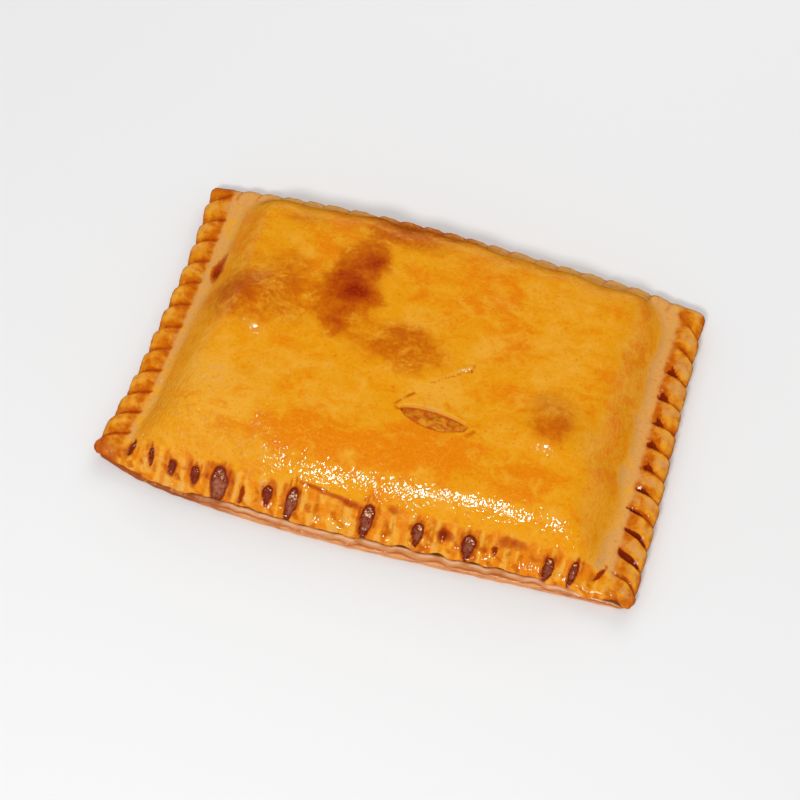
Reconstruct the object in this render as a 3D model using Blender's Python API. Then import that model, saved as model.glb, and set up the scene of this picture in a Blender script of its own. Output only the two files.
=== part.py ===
"""A baked rectangular empanada: a bottom sheet, the filling, and a top crust crimped round its rim.

Metres, +Z up. The long sides run along X and the front is at -Y. The bottom sheet rests on
z = 0, with the middle of the whole object's box over the origin.

Every layer is lofted the same way. A closed ring follows the rim, ring after ring climbs the
section of the side, and a grid of quads caps the last ring. Distances along a side are u, from
its left end to its right end as seen from outside, and distances in from the rim are insets.
"""

import math
import random
from dataclasses import dataclass

import bmesh
import bpy
import numpy as np
from mathutils import Matrix, Vector, noise

MM = 0.001

# Plan of the rim, corner to corner
LENGTH = 303 * MM
WIDTH = 184 * MM
CORNER_RADIUS = 4.5 * MM

# Heights and thicknesses
SHEET = 5.0 * MM
GAP = 0.3 * MM
CRUST = 3.5 * MM
FLOOR = SHEET + GAP
VALLEY_TOP = 9.0 * MM
CREST = 35.0 * MM
CREASE_EASE = 1.5 * MM

# Crimps: lobes pressed round the rim, each with a groove at its left end
LONG_LOBES = 21
SHORT_LOBES = 13
STEPS = 4
GROOVE_DEPTH_AT_STEP = (1.0, 0.38, 0.0, 0.22)
CRIMP_WIDTH = 14 * MM
CRIMP_JITTER = 0.18
CRIMP_SEED = 7

# A side's section eases into its neighbour's over CORNER_BLEND before the corner, and its bow
# loses a share BOW_LOST of itself over BOW_FADE inwards
CORNER_BLEND = 26 * MM
BOW_FADE = 42 * MM
BOW_LOST = 0.8

# Ways in from the rim close up towards a corner, by a power of the place along the side. Past
# the crimps, over ROUNDING_REACH, they spread evenly round the dome's larger corners instead.
CLOSING_SHARE = 0.8
MOST_CLOSING = 4.0
ROUNDING_REACH = 35 * MM

# Vent: a V of two cuts from one corner, the lower one gaping and the upper one shut
VENT_CORNER = (3.7 * MM, -29.2 * MM)
VENT_END = (45.6 * MM, -34.1 * MM)
VENT_UPPER_BULGE = 3.8 * MM
VENT_LOWER_BULGE = 4.5 * MM
VENT_STEPS = 8
VENT_DEPTH = 15 * MM
SCORE_START = 0.08
SCORE_END = (36.0 * MM, 4.0 * MM)
SCORE_SAG = 1.5 * MM
SCORE_WIDTH = 1.4 * MM
SCORE_DEPTH = 1.6 * MM
SCORE_STEPS = 6
FLAP_LIFT = 1.6 * MM
FLAP_REACH = 5.0 * MM

# Colours and roughness of the egg-washed crust, the paler bottom sheet and the oily filling
GOLDEN_CRUST = (0.78, 0.34, 0.03, 1.0)
CRUST_ROUGHNESS = 0.3
PALE_DOUGH = (0.62, 0.30, 0.09, 1.0)
DOUGH_ROUGHNESS = 0.45
FILLING_COLOUR = (0.70, 0.26, 0.01, 1.0)
FILLING_ROUGHNESS = 0.25


@dataclass(frozen=True)
class Side:
    """One side of the rim and of the dome behind it, with insets, bows and heights in millimetres.

    A roped side has its crimps twisted into a rope, and the front has pits pinched in its wall
    instead. The dome's wall starts at an inset of foot, reaches the crest over reach, and is the steeper
    at its foot the higher its power. The foot leans to one side where it isn't parallel to the rim.
    """

    turn: int
    lobes: int
    first_groove: float
    last_groove: float
    groove_sag: float
    slant: float
    bow: tuple
    foot: float
    foot_lean: float
    reach: float
    power: float
    filling_foot: float
    filling_power: float
    crimp_insets: tuple
    edge_heights: tuple
    levels: tuple
    groove: tuple
    roped: bool = True
    pits: str = ""

    @property
    def half(self):
        """Half the side's length."""
        return (WIDTH if self.turn % 2 else LENGTH) / 2

    @property
    def across(self):
        """Distance from the middle of the plan to the side."""
        return (LENGTH if self.turn % 2 else WIDTH) / 2

    @property
    def corner(self):
        """Distance u of the middle of the side's corners."""
        return self.half - CORNER_RADIUS + CORNER_RADIUS * math.pi / 4


# Heights of the three outer rings of the crimps, and the rope's section over the others
ROPE_EDGE = (5.3, 7.6, 11.2)
WALL_EDGE = (5.3, 6.8, 9.4)
ROPE = ((3.0, 12.8), (5.0, 13.6), (8.0, 13.5), (11.0, 12.0), (14.0, 9.8), (17.0, 9.0))

# What a groove takes from each ring of the crimps, as (inset, drop) in millimetres
ROPE_GROOVE = ((0.8, 0.0), (1.7, 0.0), (2.1, 0.8), (1.2, 2.6), (0.3, 2.9), (-0.6, 1.0), (0.0, 0.0))
PIT_GROOVE = ((0.5, 0.0), (1.3, 0.0), (3.2, 0.2), (3.4, 1.0), (1.6, 1.6), (0.6, 1.0), (0.0, 0.0))

# Depth of the front pits: f faint, s small, m medium, l large, x the burnt blotch
PIT_DEPTH = {"f": 0.35, "s": 0.65, "m": 0.85, "l": 1.15, "x": 1.35}

FRONT = Side(
    turn=0,
    lobes=LONG_LOBES,
    first_groove=-134 * MM,
    last_groove=131.3 * MM,
    groove_sag=0.0,
    slant=0.0,
    bow=((-1, 0.6), (-0.78, 3.6), (-0.45, 5.5), (-0.05, 4.4), (0.3, 0.6), (0.75, -1.9), (1, 0.6)),
    foot=2.5,
    foot_lean=0.0,
    reach=46,
    power=2.7,
    filling_foot=12,
    filling_power=4.0,
    crimp_insets=(1.5, 0.0, 2.0, 4.5, 7.5, 10.5, 14.0),
    edge_heights=WALL_EDGE,
    levels=(0.68, 0.80, 0.88, 0.94, 0.985),
    groove=PIT_GROOVE,
    roped=False,
    pits="smmmxfmlfflflslsflls",
)
RIGHT = Side(
    turn=1,
    lobes=SHORT_LOBES,
    first_groove=-86 * MM,
    last_groove=72 * MM,
    groove_sag=-4.5 * MM,
    slant=0.28,
    bow=((-1, 0), (-0.5, 1.2), (0.0, 0.6), (0.5, 0.0), (1, 0.3)),
    foot=21,
    foot_lean=0.0,
    reach=31,
    power=1.9,
    filling_foot=25,
    filling_power=1.9,
    crimp_insets=(2.5, 0.2, 1.2, 5.0, 10.5, 15.0, 18.5),
    edge_heights=ROPE_EDGE,
    levels=(0.12, 0.42, 0.68, 0.87, 0.985),
    groove=ROPE_GROOVE,
)
BACK = Side(
    turn=2,
    lobes=LONG_LOBES,
    first_groove=-131 * MM,
    last_groove=130 * MM,
    groove_sag=0.0,
    slant=0.2,
    bow=((-1, 0.4), (-0.75, 5.5), (-0.4, 8.0), (0.1, 10.4), (0.65, 6.5), (1, 0)),
    foot=7,
    foot_lean=0.0,
    reach=37,
    power=4.2,
    filling_foot=12.5,
    filling_power=5.0,
    crimp_insets=(2.5, 0.2, 1.5, 4.5, 7.5, 9.5, 11.5),
    edge_heights=ROPE_EDGE,
    levels=(0.58, 0.74, 0.86, 0.94, 0.985),
    groove=ROPE_GROOVE,
)
LEFT = Side(
    turn=3,
    lobes=SHORT_LOBES,
    first_groove=-78.9 * MM,
    last_groove=82.6 * MM,
    groove_sag=2.0 * MM,
    slant=-0.3,
    bow=((-1, 0), (-0.5, -4.6), (0.0, -5.2), (0.6, -4.3), (1, 0)),
    foot=21,
    foot_lean=-3.5,
    reach=32,
    power=1.9,
    filling_foot=25,
    filling_power=1.9,
    crimp_insets=(2.5, 0.2, 1.2, 5.0, 10.0, 14.5, 18.0),
    edge_heights=ROPE_EDGE,
    levels=(0.12, 0.42, 0.68, 0.87, 0.985),
    groove=ROPE_GROOVE,
)
SIDES = (FRONT, RIGHT, BACK, LEFT)

# How the four walls of the dome meet: the higher, the squarer its corners
WALL_JOIN = 2.2
DOME_RADIUS = 30 * MM
DEEPEST_INSET = 70 * MM
HALVINGS = 24
FILLING_LEVELS = (0.0, 0.12, 0.4, 0.75, 0.985)

# Bottom sheet: how far it shows beyond the front crimps, and its section (inset, height)
LEDGE = ((-1, 0.0), (-0.78, 4.0), (-0.5, 5.4), (-0.1, 5.9), (0.3, 6.8), (0.7, 4.9), (1, 0.5))
LEDGE_SQUARENESS = 8
SHEET_INSET = 1.5 * MM
SHEET_SECTION = ((2.2, 0.0), (0.4, 0.9), (0.0, 2.0), (0.5, 2.8), (0.1, 3.6), (0.7, 4.5), (2.4, 5.0))

# Rise of the crust's top over its crest: to the middle, by a fine unevenness, and in swells of
# (x, y, reach, height) in millimetres
MIDDLE_RISE = 2.0 * MM
UNEVENNESS = 0.5 * MM
UNEVEN_PITCH = 22 * MM
SWELLS = (
    (-60, 45, 62, 3.6),
    (-93, 10, 17, 2.4),
    (-41, 30, 18, 2.6),
    (-4, 2, 17, 1.8),
    (84, -16, 16, 1.6),
)


def smooth(t):
    """Ease from 0 to 1."""
    t = min(max(t, 0.0), 1.0)
    return t * t * (3 - 2 * t)


def along(stations, t):
    """Value at t of (t, value) stations joined by a smooth curve."""
    places = [place for place, _ in stations]
    values = [value for _, value in stations]
    slopes = np.gradient(values, places)
    i = int(np.clip(np.searchsorted(places, t) - 1, 0, len(places) - 2))
    span = places[i + 1] - places[i]
    f = min(max((t - places[i]) / span, 0.0), 1.0)
    start = (1 + 2 * f) * (1 - f) ** 2 * values[i] + f * (1 - f) ** 2 * span * slopes[i]
    end = f * f * (3 - 2 * f) * values[i + 1] - f * f * (1 - f) * span * slopes[i + 1]
    return start + end


def groove_places(side):
    """Distances u of the grooves along a side, with its two corners as the first and last."""
    steps = np.linspace(0, 1, side.lobes - 1)
    inner = side.first_groove + (side.last_groove - side.first_groove) * steps
    inner += side.groove_sag * np.sin(math.pi * steps)
    return [-side.corner, *inner, side.corner]


def rim_stations():
    """Each vertex round the rim as (side index, u, lobe, step of the lobe)."""
    stations = []
    for index, side in enumerate(SIDES):
        places = groove_places(side)
        for lobe in range(side.lobes):
            for step in range(STEPS):
                u = places[lobe] + (places[lobe + 1] - places[lobe]) * step / STEPS
                stations.append((index, u, lobe, step))
    return stations


def bow_at(side, place, inset):
    """How far a side bows out, less and less inwards."""
    return along(side.bow, place) * MM * (1 - BOW_LOST * smooth(inset / BOW_FADE))


def plan_point(side, u, inset):
    """Plan position of the rim's point u, moved in by an inset.

    Near the middle of a side the point moves straight in. Towards a corner the points close up,
    so that they all stay on their own side of the corner's diagonal.
    """
    deep = smooth((inset - CRIMP_WIDTH) / ROUNDING_REACH)
    radius = CORNER_RADIUS + (DOME_RADIUS - CORNER_RADIUS) * deep
    straight = side.half - inset - radius
    squeeze = 1 - (straight + radius * math.pi / 4) / side.corner
    power = MOST_CLOSING
    if squeeze > 0:
        power = min(MOST_CLOSING, CLOSING_SHARE * (1 / squeeze - 1))
    place = abs(u) / side.corner
    lean = side.slant * min(max(inset, 0.0), CRIMP_WIDTH) * (1 - place**2)
    u_in = u * (1 - squeeze * place ** (power * (1 - deep))) + lean
    if abs(u_in) <= straight:
        x, y = u_in, inset - side.across
    else:
        angle = (abs(u_in) - straight) / radius
        x = math.copysign(straight + radius * math.sin(angle), u_in)
        y = inset - side.across + radius * (1 - math.cos(angle))
    y -= bow_at(side, u / side.corner, inset)
    for _ in range(side.turn):
        x, y = -y, x
    return x, y


def insets_at(x, y):
    """Inset of a plan position from each side, with its place along that side."""
    found = []
    for side in SIDES:
        place = min(max(x / side.half, -1.0), 1.0)
        straight = y + side.across
        found.append((straight + bow_at(side, place, straight), place))
        x, y = y, -x
    return found


def dome_share(x, y, filling=False):
    """Share of the dome's height at a plan position: 0 at its foot, 1 at the crest, below 0 outside."""
    lack = 0.0
    for side, (inset, place) in zip(SIDES, insets_at(x, y)):
        foot = (side.filling_foot if filling else side.foot) + side.foot_lean * place
        power = side.filling_power if filling else side.power
        t = (inset / MM - foot) / (side.foot + side.reach - foot)
        lack += max(1 - t, 0.0) ** (power * WALL_JOIN)
    return 1 - lack ** (1 / WALL_JOIN)


def swell(x, y):
    """How far the top of the crust stands above its crest at a plan position."""
    height = MIDDLE_RISE * (1 - (2 * x / LENGTH) ** 2) * (1 - (2 * y / WIDTH) ** 2)
    for centre_x, centre_y, reach, top in SWELLS:
        away = math.hypot(x - centre_x * MM, y - centre_y * MM) / (reach * MM)
        height += top * MM * math.exp(-away * away)
    return height + UNEVENNESS * noise.noise(Vector((x, y, 0)) / UNEVEN_PITCH)


def crust_top(x, y):
    """Height of the top crust: the rope round the rim, or the dome where that is higher."""
    share = dome_share(x, y)
    dome = VALLEY_TOP + max(share, 0.0) * (CREST - VALLEY_TOP + swell(x, y))
    roped = [inset for side, (inset, _) in zip(SIDES, insets_at(x, y)) if side.roped]
    nearest = min(roped) / MM
    rope = along(ROPE, min(max(nearest, ROPE[0][0]), ROPE[-1][0])) * MM
    apart = abs(dome - rope)
    ease = max(CREASE_EASE - apart, 0.0)
    return max(dome, rope) + ease * ease / (4 * CREASE_EASE)


def filling_top(x, y):
    """Height of the filling."""
    return FLOOR + max(dome_share(x, y, filling=True), 0.0) * (CREST - CRUST - FLOOR + swell(x, y))


def contour_point(index, u, level, filling):
    """Plan position where the way in from the rim's point u reaches a share of the dome."""
    near, far = 0.0, DEEPEST_INSET
    for _ in range(HALVINGS):
        inset = (near + far) / 2
        if dome_share(*plan_point(SIDES[index], u, inset), filling) < level:
            near = inset
        else:
            far = inset
    return plan_point(SIDES[index], u, far)


def flap_lift(x, y):
    """Lift of the crust along the upper lip of the gaping cut."""
    start, end = np.array(VENT_CORNER), np.array(VENT_END)
    run = end - start
    t = float(np.dot((x, y) - start, run) / np.dot(run, run))
    above = y - (start + t * run)[1] - VENT_UPPER_BULGE
    if not 0 < t < 1:
        return 0.0
    return FLAP_LIFT * math.sin(math.pi * t) * math.exp(-((above / FLAP_REACH) ** 2))


def lofted(name, rings, height):
    """A closed mesh through rings of points, with one face below and a grid of quads above.

    A ring may have half as many points as the one below it. The grid's border is the last ring,
    and its other points stand at the height that the plan position has.
    """
    mesh = bmesh.new()
    loops = [[mesh.verts.new(point) for point in ring] for ring in rings]
    mesh.faces.new(reversed(loops[0]))
    for low, high in zip(loops, loops[1:]):
        for i, top in enumerate(high):
            next_top = high[(i + 1) % len(high)]
            if len(low) == len(high):
                mesh.faces.new((low[i], low[(i + 1) % len(low)], next_top, top))
                continue
            first, middle, last = low[2 * i], low[2 * i + 1], low[(2 * i + 2) % len(low)]
            mesh.faces.new((first, middle, top))
            mesh.faces.new((middle, next_top, top))
            mesh.faces.new((middle, last, next_top))
    grid = patch(mesh, loops[-1], height)
    for column, following in zip(grid, grid[1:]):
        for j in range(len(column) - 1):
            mesh.faces.new((column[j], following[j], following[j + 1], column[j + 1]))
    bmesh.ops.triangulate(mesh, faces=mesh.faces, quad_method="FIXED")
    data = bpy.data.meshes.new(name)
    mesh.to_mesh(data)
    mesh.free()
    return data


def patch(mesh, border, height):
    """A grid of vertices inside a border, its plan worked out by transfinite interpolation."""
    wide = round(len(border) * LONG_LOBES / (LONG_LOBES + SHORT_LOBES) / 2)
    deep = len(border) // 2 - wide
    grid = [[None] * (deep + 1) for _ in range(wide + 1)]
    for i in range(wide + 1):
        grid[i][0] = border[i]
        grid[i][deep] = border[2 * wide + deep - i]
    for j in range(1, deep):
        grid[wide][j] = border[wide + j]
        grid[0][j] = border[-j]
    corners = [grid[i][j].co for i, j in ((0, 0), (wide, 0), (0, deep), (wide, deep))]
    for i in range(1, wide):
        for j in range(1, deep):
            s, t = i / wide, j / deep
            place = (1 - t) * grid[i][0].co + t * grid[i][deep].co
            place += (1 - s) * grid[0][j].co + s * grid[wide][j].co
            place -= (1 - t) * ((1 - s) * corners[0] + s * corners[1])
            place -= t * ((1 - s) * corners[2] + s * corners[3])
            grid[i][j] = mesh.verts.new((place.x, place.y, height(place.x, place.y)))
    return grid


def blended(index, u, pick):
    """A value of a side, eased into its neighbour's towards the corner."""
    side = SIDES[index]
    neighbour = SIDES[(index + (1 if u > 0 else -1)) % len(SIDES)]
    share = 0.5 * (1 - smooth((side.corner - abs(u)) / CORNER_BLEND))
    return (1 - share) * pick(side) + share * pick(neighbour)


def groove_depth(index, lobe, step, vigour):
    """Depth of the nearest groove as it is felt at a step of a lobe."""
    side = SIDES[index]
    nearest = lobe + (1 if step > STEPS / 2 else 0)
    depth = GROOVE_DEPTH_AT_STEP[step] * vigour[index * LONG_LOBES + nearest % side.lobes]
    if side.pits:
        depth *= PIT_DEPTH[side.pits[min(max(nearest - 1, 0), len(side.pits) - 1)]]
    return depth


def crust_rings():
    """Rings of the top crust: those of the rim keep every vertex, those of the dome every second."""
    draw = random.Random(CRIMP_SEED)
    vigour = [draw.uniform(1 - CRIMP_JITTER, 1 + CRIMP_JITTER) for _ in range(4 * LONG_LOBES)]
    rings = []
    for ring in range(len(ROPE_GROOVE)):
        points = []
        for index, u, lobe, step in rim_stations():
            depth = groove_depth(index, lobe, step, vigour)
            inset_cut, drop = SIDES[index].groove[ring]
            inset = blended(index, u, lambda side: side.crimp_insets[ring])
            x, y = plan_point(SIDES[index], u, (inset + inset_cut * depth) * MM)
            if ring < len(ROPE_EDGE):
                height = blended(index, u, lambda side: side.edge_heights[ring]) * MM
            else:
                height = crust_top(x, y)
            points.append((x, y, height - drop * MM * depth))
        rings.append(points)
    for ring in range(len(FRONT.levels)):
        points = []
        for index, u, _, step in rim_stations():
            if step % 2:
                continue
            level = blended(index, u, lambda side: side.levels[ring])
            x, y = contour_point(index, u, level, filling=False)
            points.append((x, y, crust_top(x, y)))
        rings.append(points)
    return rings


def filling_rings(grow):
    """Rings of the filling, or of the hollow round it: grown by a clearance, its floor sunk."""
    rings = []
    for level in FILLING_LEVELS:
        points = []
        for index, u, _, step in rim_stations():
            if step:
                continue
            x, y = contour_point(index, u, level, filling=True)
            out = Vector((x / LENGTH, y / WIDTH)).normalized() * grow
            points.append((x + out.x, y + out.y, filling_top(x, y) + grow))
        rings.append(points)
    if grow:
        rings.insert(0, [(x, y, FLOOR - 2 * grow) for x, y, _ in rings[0]])
    return rings


def sheet_rings():
    """Rings of the bottom sheet, which stands out beyond the crimps at the front."""
    rings = []
    for inset, height in SHEET_SECTION:
        points = []
        for index, u, _, step in rim_stations():
            if step % 2:
                continue
            side = SIDES[index]
            out = SHEET_INSET
            if side is FRONT:
                place = u / side.corner
                flush = SHEET_INSET * (1 - abs(place) ** LEDGE_SQUARENESS)
                out -= along(LEDGE, place) * MM + flush
            points.append((*plan_point(side, u, inset * MM + out), height * MM))
        rings.append(points)
    return rings


def build_crust():
    """The top crust before its hollow and its cuts are taken out."""
    return lofted("pastry_lid", crust_rings(), lambda x, y: crust_top(x, y) + flap_lift(x, y))


def build_filling(name, grow):
    """The filling, or the hollow that it lies in where it is grown by a clearance."""
    return lofted(name, filling_rings(grow), lambda x, y: filling_top(x, y) + grow)


def build_sheet():
    """The bottom sheet, flat above and below, with a rolled edge."""
    return lofted("pastry_base", sheet_rings(), lambda x, y: SHEET)


def prism(name, outline, bottom, top):
    """A closed upright prism over a plan outline that runs anticlockwise."""
    mesh = bmesh.new()
    face = mesh.faces.new([mesh.verts.new((x, y, bottom)) for x, y in outline])
    raised_face = bmesh.ops.extrude_face_region(mesh, geom=[face])
    for vert in raised_face["geom"]:
        if isinstance(vert, bmesh.types.BMVert):
            vert.co.z = top
    bmesh.ops.recalc_face_normals(mesh, faces=mesh.faces)
    data = bpy.data.meshes.new(name)
    mesh.to_mesh(data)
    mesh.free()
    return data


def build_vent_cutter():
    """A lens-shaped prism: the plan of the gaping cut."""
    start, end = np.array(VENT_CORNER), np.array(VENT_END)
    normal = np.array((start[1] - end[1], end[0] - start[0])) / np.linalg.norm(end - start)
    outline = []
    for i in range(VENT_STEPS):
        t = i / VENT_STEPS
        outline.append(start + (end - start) * t - normal * VENT_LOWER_BULGE * math.sin(math.pi * t))
    for i in range(VENT_STEPS):
        t = 1 - i / VENT_STEPS
        outline.append(start + (end - start) * t + normal * VENT_UPPER_BULGE * math.sin(math.pi * t))
    return prism("vent_cutter", outline, CREST - VENT_DEPTH, CREST + VENT_DEPTH)


def build_score_cutter():
    """A wedge along the shut cut, its edge down in the crust and its back clear above."""
    start, end = np.array(VENT_CORNER), np.array(SCORE_END)
    normal = np.array((start[1] - end[1], end[0] - start[0])) / np.linalg.norm(end - start)
    mesh = bmesh.new()
    rows = []
    for i in range(SCORE_STEPS + 1):
        t = SCORE_START + (1 - SCORE_START) * i / SCORE_STEPS
        middle = start + (end - start) * t + normal * SCORE_SAG * math.sin(math.pi * t)
        surface = crust_top(*middle)
        half = normal * SCORE_WIDTH
        rows.append([mesh.verts.new((*middle, surface - SCORE_DEPTH)),
                     mesh.verts.new((*(middle - half), surface + SCORE_DEPTH)),
                     mesh.verts.new((*(middle + half), surface + SCORE_DEPTH))])
    for row, following in zip(rows, rows[1:]):
        for k in range(3):
            mesh.faces.new((row[k], row[(k + 1) % 3], following[(k + 1) % 3], following[k]))
    mesh.faces.new(reversed(rows[0]))
    mesh.faces.new(rows[-1])
    bmesh.ops.recalc_face_normals(mesh, faces=mesh.faces)
    data = bpy.data.meshes.new("score_cutter")
    mesh.to_mesh(data)
    mesh.free()
    return data


def material(name, colour, roughness):
    """A plain Principled material."""
    made = bpy.data.materials.new(name)
    made.use_nodes = True
    shader = made.node_tree.nodes["Principled BSDF"]
    shader.inputs["Base Color"].default_value = colour
    shader.inputs["Roughness"].default_value = roughness
    shader.inputs["Metallic"].default_value = 0.0
    return made


def placed(data, collection, finish=None):
    """An object for a mesh, in a collection, with a material or as a hidden cutter."""
    made = bpy.data.objects.new(data.name, data)
    collection.objects.link(made)
    if finish is None:
        made.hide_render = True
        made.display_type = "WIRE"
    else:
        data.materials.append(finish)
        data.shade_smooth()
    return made


def cut(target, cutter):
    """Take a cutter out of a piece."""
    modifier = target.modifiers.new(cutter.name, "BOOLEAN")
    modifier.operation = "DIFFERENCE"
    modifier.object = cutter


def centre(meshes, widest):
    """Shift meshes in plan so that the box of the widest ones has its middle over the origin."""
    corners = np.array([vert.co for data in widest for vert in data.vertices])
    middle = (corners.min(axis=0) + corners.max(axis=0)) / 2
    for data in meshes:
        data.transform(Matrix.Translation((-middle[0], -middle[1], 0)))


def main():
    for old in list(bpy.data.objects):
        bpy.data.objects.remove(old, do_unlink=True)
    scene = bpy.context.scene.collection
    pieces = bpy.data.collections.new("empanada")
    cutters = bpy.data.collections.new("cutters")
    scene.children.link(pieces)
    scene.children.link(cutters)
    cutters.hide_render = True

    crust = build_crust()
    sheet = build_sheet()
    filling = build_filling("filling", 0.0)
    cuts = [build_filling("hollow_cutter", GAP), build_vent_cutter(), build_score_cutter()]
    centre([crust, sheet, filling, *cuts], [crust, sheet])

    lid = placed(crust, pieces, material("golden_crust", GOLDEN_CRUST, CRUST_ROUGHNESS))
    placed(sheet, pieces, material("pale_dough", PALE_DOUGH, DOUGH_ROUGHNESS))
    placed(filling, pieces, material("filling", FILLING_COLOUR, FILLING_ROUGHNESS))
    for cutter in cuts:
        cut(lid, placed(cutter, cutters))


main()
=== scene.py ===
"""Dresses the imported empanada: top crust, bottom sheet and filling, on a pale table.

Sizes are millimetres in the plan's own frame, with the front at -Y and the table at z = 0. A mesh
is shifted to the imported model's frame and scaled to metres when it is made.

Distances along a side are u, from its left end to its right end as seen from outside. Distances
in from the rim are insets. Sides run front, right, back, left.
"""

from __future__ import annotations

import logging
import math
from collections.abc import Callable, Iterable
from dataclasses import dataclass, replace
from enum import Enum

import bmesh
import bpy
import numpy as np
from mathutils import Matrix, Vector

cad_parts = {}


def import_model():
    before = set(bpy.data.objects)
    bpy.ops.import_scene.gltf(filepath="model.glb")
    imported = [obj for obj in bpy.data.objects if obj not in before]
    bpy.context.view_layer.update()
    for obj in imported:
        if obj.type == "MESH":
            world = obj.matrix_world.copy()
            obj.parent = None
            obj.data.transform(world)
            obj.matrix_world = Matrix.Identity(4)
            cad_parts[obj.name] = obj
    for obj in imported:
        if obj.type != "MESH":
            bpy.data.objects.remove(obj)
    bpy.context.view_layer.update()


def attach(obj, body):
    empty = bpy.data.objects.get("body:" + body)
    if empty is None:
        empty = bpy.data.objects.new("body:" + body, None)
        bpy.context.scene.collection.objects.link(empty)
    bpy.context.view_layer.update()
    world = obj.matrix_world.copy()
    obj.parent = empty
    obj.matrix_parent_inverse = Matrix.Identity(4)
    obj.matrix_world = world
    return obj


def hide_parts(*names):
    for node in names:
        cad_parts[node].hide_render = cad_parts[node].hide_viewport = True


log = logging.getLogger("empanada")

MM = 0.001
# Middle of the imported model's box, in the plan's own frame
PLAN_MIDDLE = np.array((0.816, -0.531))

Array = np.ndarray
Colour = tuple[float, float, float, float]
Place = tuple[float, float, float]
Socket = bpy.types.NodeSocket
Stations = tuple[tuple[float, float], ...]


def smooth(t: Array | float) -> Array:
    """Ease from 0 to 1."""
    t = np.clip(t, 0.0, 1.0)
    return t * t * (3 - 2 * t)


def bell(t: Array | float) -> Array:
    """A bell of height 1 that falls to 1/e at t = 1."""
    return np.exp(-np.square(t))


def smooth_run(f: Array, low: Array, high: Array, low_slope: Array, high_slope: Array) -> Array:
    """Run smoothly from low at f = 0 to high at f = 1, with given slopes there."""
    start = (1 + 2 * f) * (1 - f) ** 2 * low + f * (1 - f) ** 2 * low_slope
    return start + f * f * (3 - 2 * f) * high - f * f * (1 - f) * high_slope


def side_by_side(columns: list[dict[str, Array]]) -> dict[str, Array]:
    """Join columns of named arrays along the rim."""
    names = columns[0]
    return {name: np.concatenate([column[name] for column in columns], axis=1) for name in names}


def quads(*corners: Array) -> list[list[int]]:
    """Four-sided faces from arrays of their corners."""
    return np.stack(corners, -1).reshape(-1, 4).tolist()


def along(stations: Stations, t: Array | float) -> Array:
    """Read a smooth curve through stations.

    Args:
        stations: Pairs of (place, value), by rising place.
        t: Places to read.

    Returns:
        The curve's value at each place, held level beyond the first and last station.
    """
    places, values = np.array(stations, float).T
    slopes = np.gradient(values, places)
    i = np.clip(np.searchsorted(places, t) - 1, 0, len(places) - 2)
    span = places[i + 1] - places[i]
    f = np.clip((t - places[i]) / span, 0.0, 1.0)
    return smooth_run(f, values[i], values[i + 1], span * slopes[i], span * slopes[i + 1])


def wavy(x: Array, y: Array, pitch: float, seed: int) -> Array:
    """Gentle unevenness over a plan, as a sum of crossing waves.

    Args:
        x: Positions along X.
        y: Positions along Y.
        pitch: Usual distance between crests.
        seed: Which pattern.

    Returns:
        Values between about -1 and 1.
    """
    draw = np.random.default_rng(seed)
    total = np.zeros(np.broadcast(x, y).shape)
    for _ in range(7):
        turn, phase = draw.uniform(0, 2 * math.pi, 2)
        rate = 2 * math.pi / (pitch * draw.uniform(0.7, 1.6))
        total += np.sin(rate * (x * math.cos(turn) + y * math.sin(turn)) + phase)
    return total / 3.5


@dataclass(frozen=True)
class Side:
    """One side of the rim and of the dome behind it.

    The dome's wall starts at an inset of foot, reaches the crest over reach, and is the steeper
    at its foot the higher its power. Grooves are their places u at the outer edge, and slant is
    how far they run along the side for each millimetre inwards. Fold_crest is the share of the
    way through a fold at which it is highest. Deep is how far a groove cuts in, from the edge
    inwards, and inner is the inset where the folds end.
    """

    turn: int
    half: float
    across: float
    lobes: int
    grooves: tuple[float, ...]
    slant: Stations
    fold_crest: float
    fold_fall: float
    deep: Stations
    inner: float
    bow: Stations
    foot: float
    foot_lean: float
    reach: float
    power: float
    crimp_insets: tuple[float, ...]
    edge_heights: tuple[float, float, float]

    def into_folds(self, u: Array, inset: Array) -> tuple[Array, Array, Array]:
        """Follow the slanted grooves out to the edge.

        Args:
            u: Places along the side.
            inset: Their insets.

        Returns:
            The index of each place's fold, its share of the way through, and its distance from
            the nearer groove.
        """
        outer = u - along(self.slant, u / self.half) * np.clip(inset, 0, self.inner)
        ends = np.array((-self.half - 9.0, *self.grooves, self.half + 9.0))
        fold = np.clip(np.searchsorted(ends, outer) - 1, 0, len(ends) - 2)
        width = ends[fold + 1] - ends[fold]
        share = np.clip((outer - ends[fold]) / width, 0.0, 1.0)
        return fold, share, np.minimum(share, 1 - share) * width

    def fold_depth(self, share: Array) -> Array:
        """How far below its crest a fold is.

        Args:
            share: Share of the way through the fold.

        Returns:
            The depth, from 0 at the crest to 1 in the grooves.
        """
        if self.fold_crest > 0.5:
            share = 1 - share
        crest = min(self.fold_crest, 1 - self.fold_crest)
        steep = 1 - np.sqrt(1 - np.square(1 - np.clip(share / crest, 0, 1)) * 0.999)
        gentle = np.clip((share - crest) / (1 - crest), 0, 1) ** self.fold_fall
        return steep + gentle


# Heights of the three outer rings of the crimps
ROPE_EDGE = (5.3, 7.6, 11.2)
WALL_EDGE = (5.3, 6.6, 9.0)

LENGTH = 303.0
WIDTH = 184.0

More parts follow.
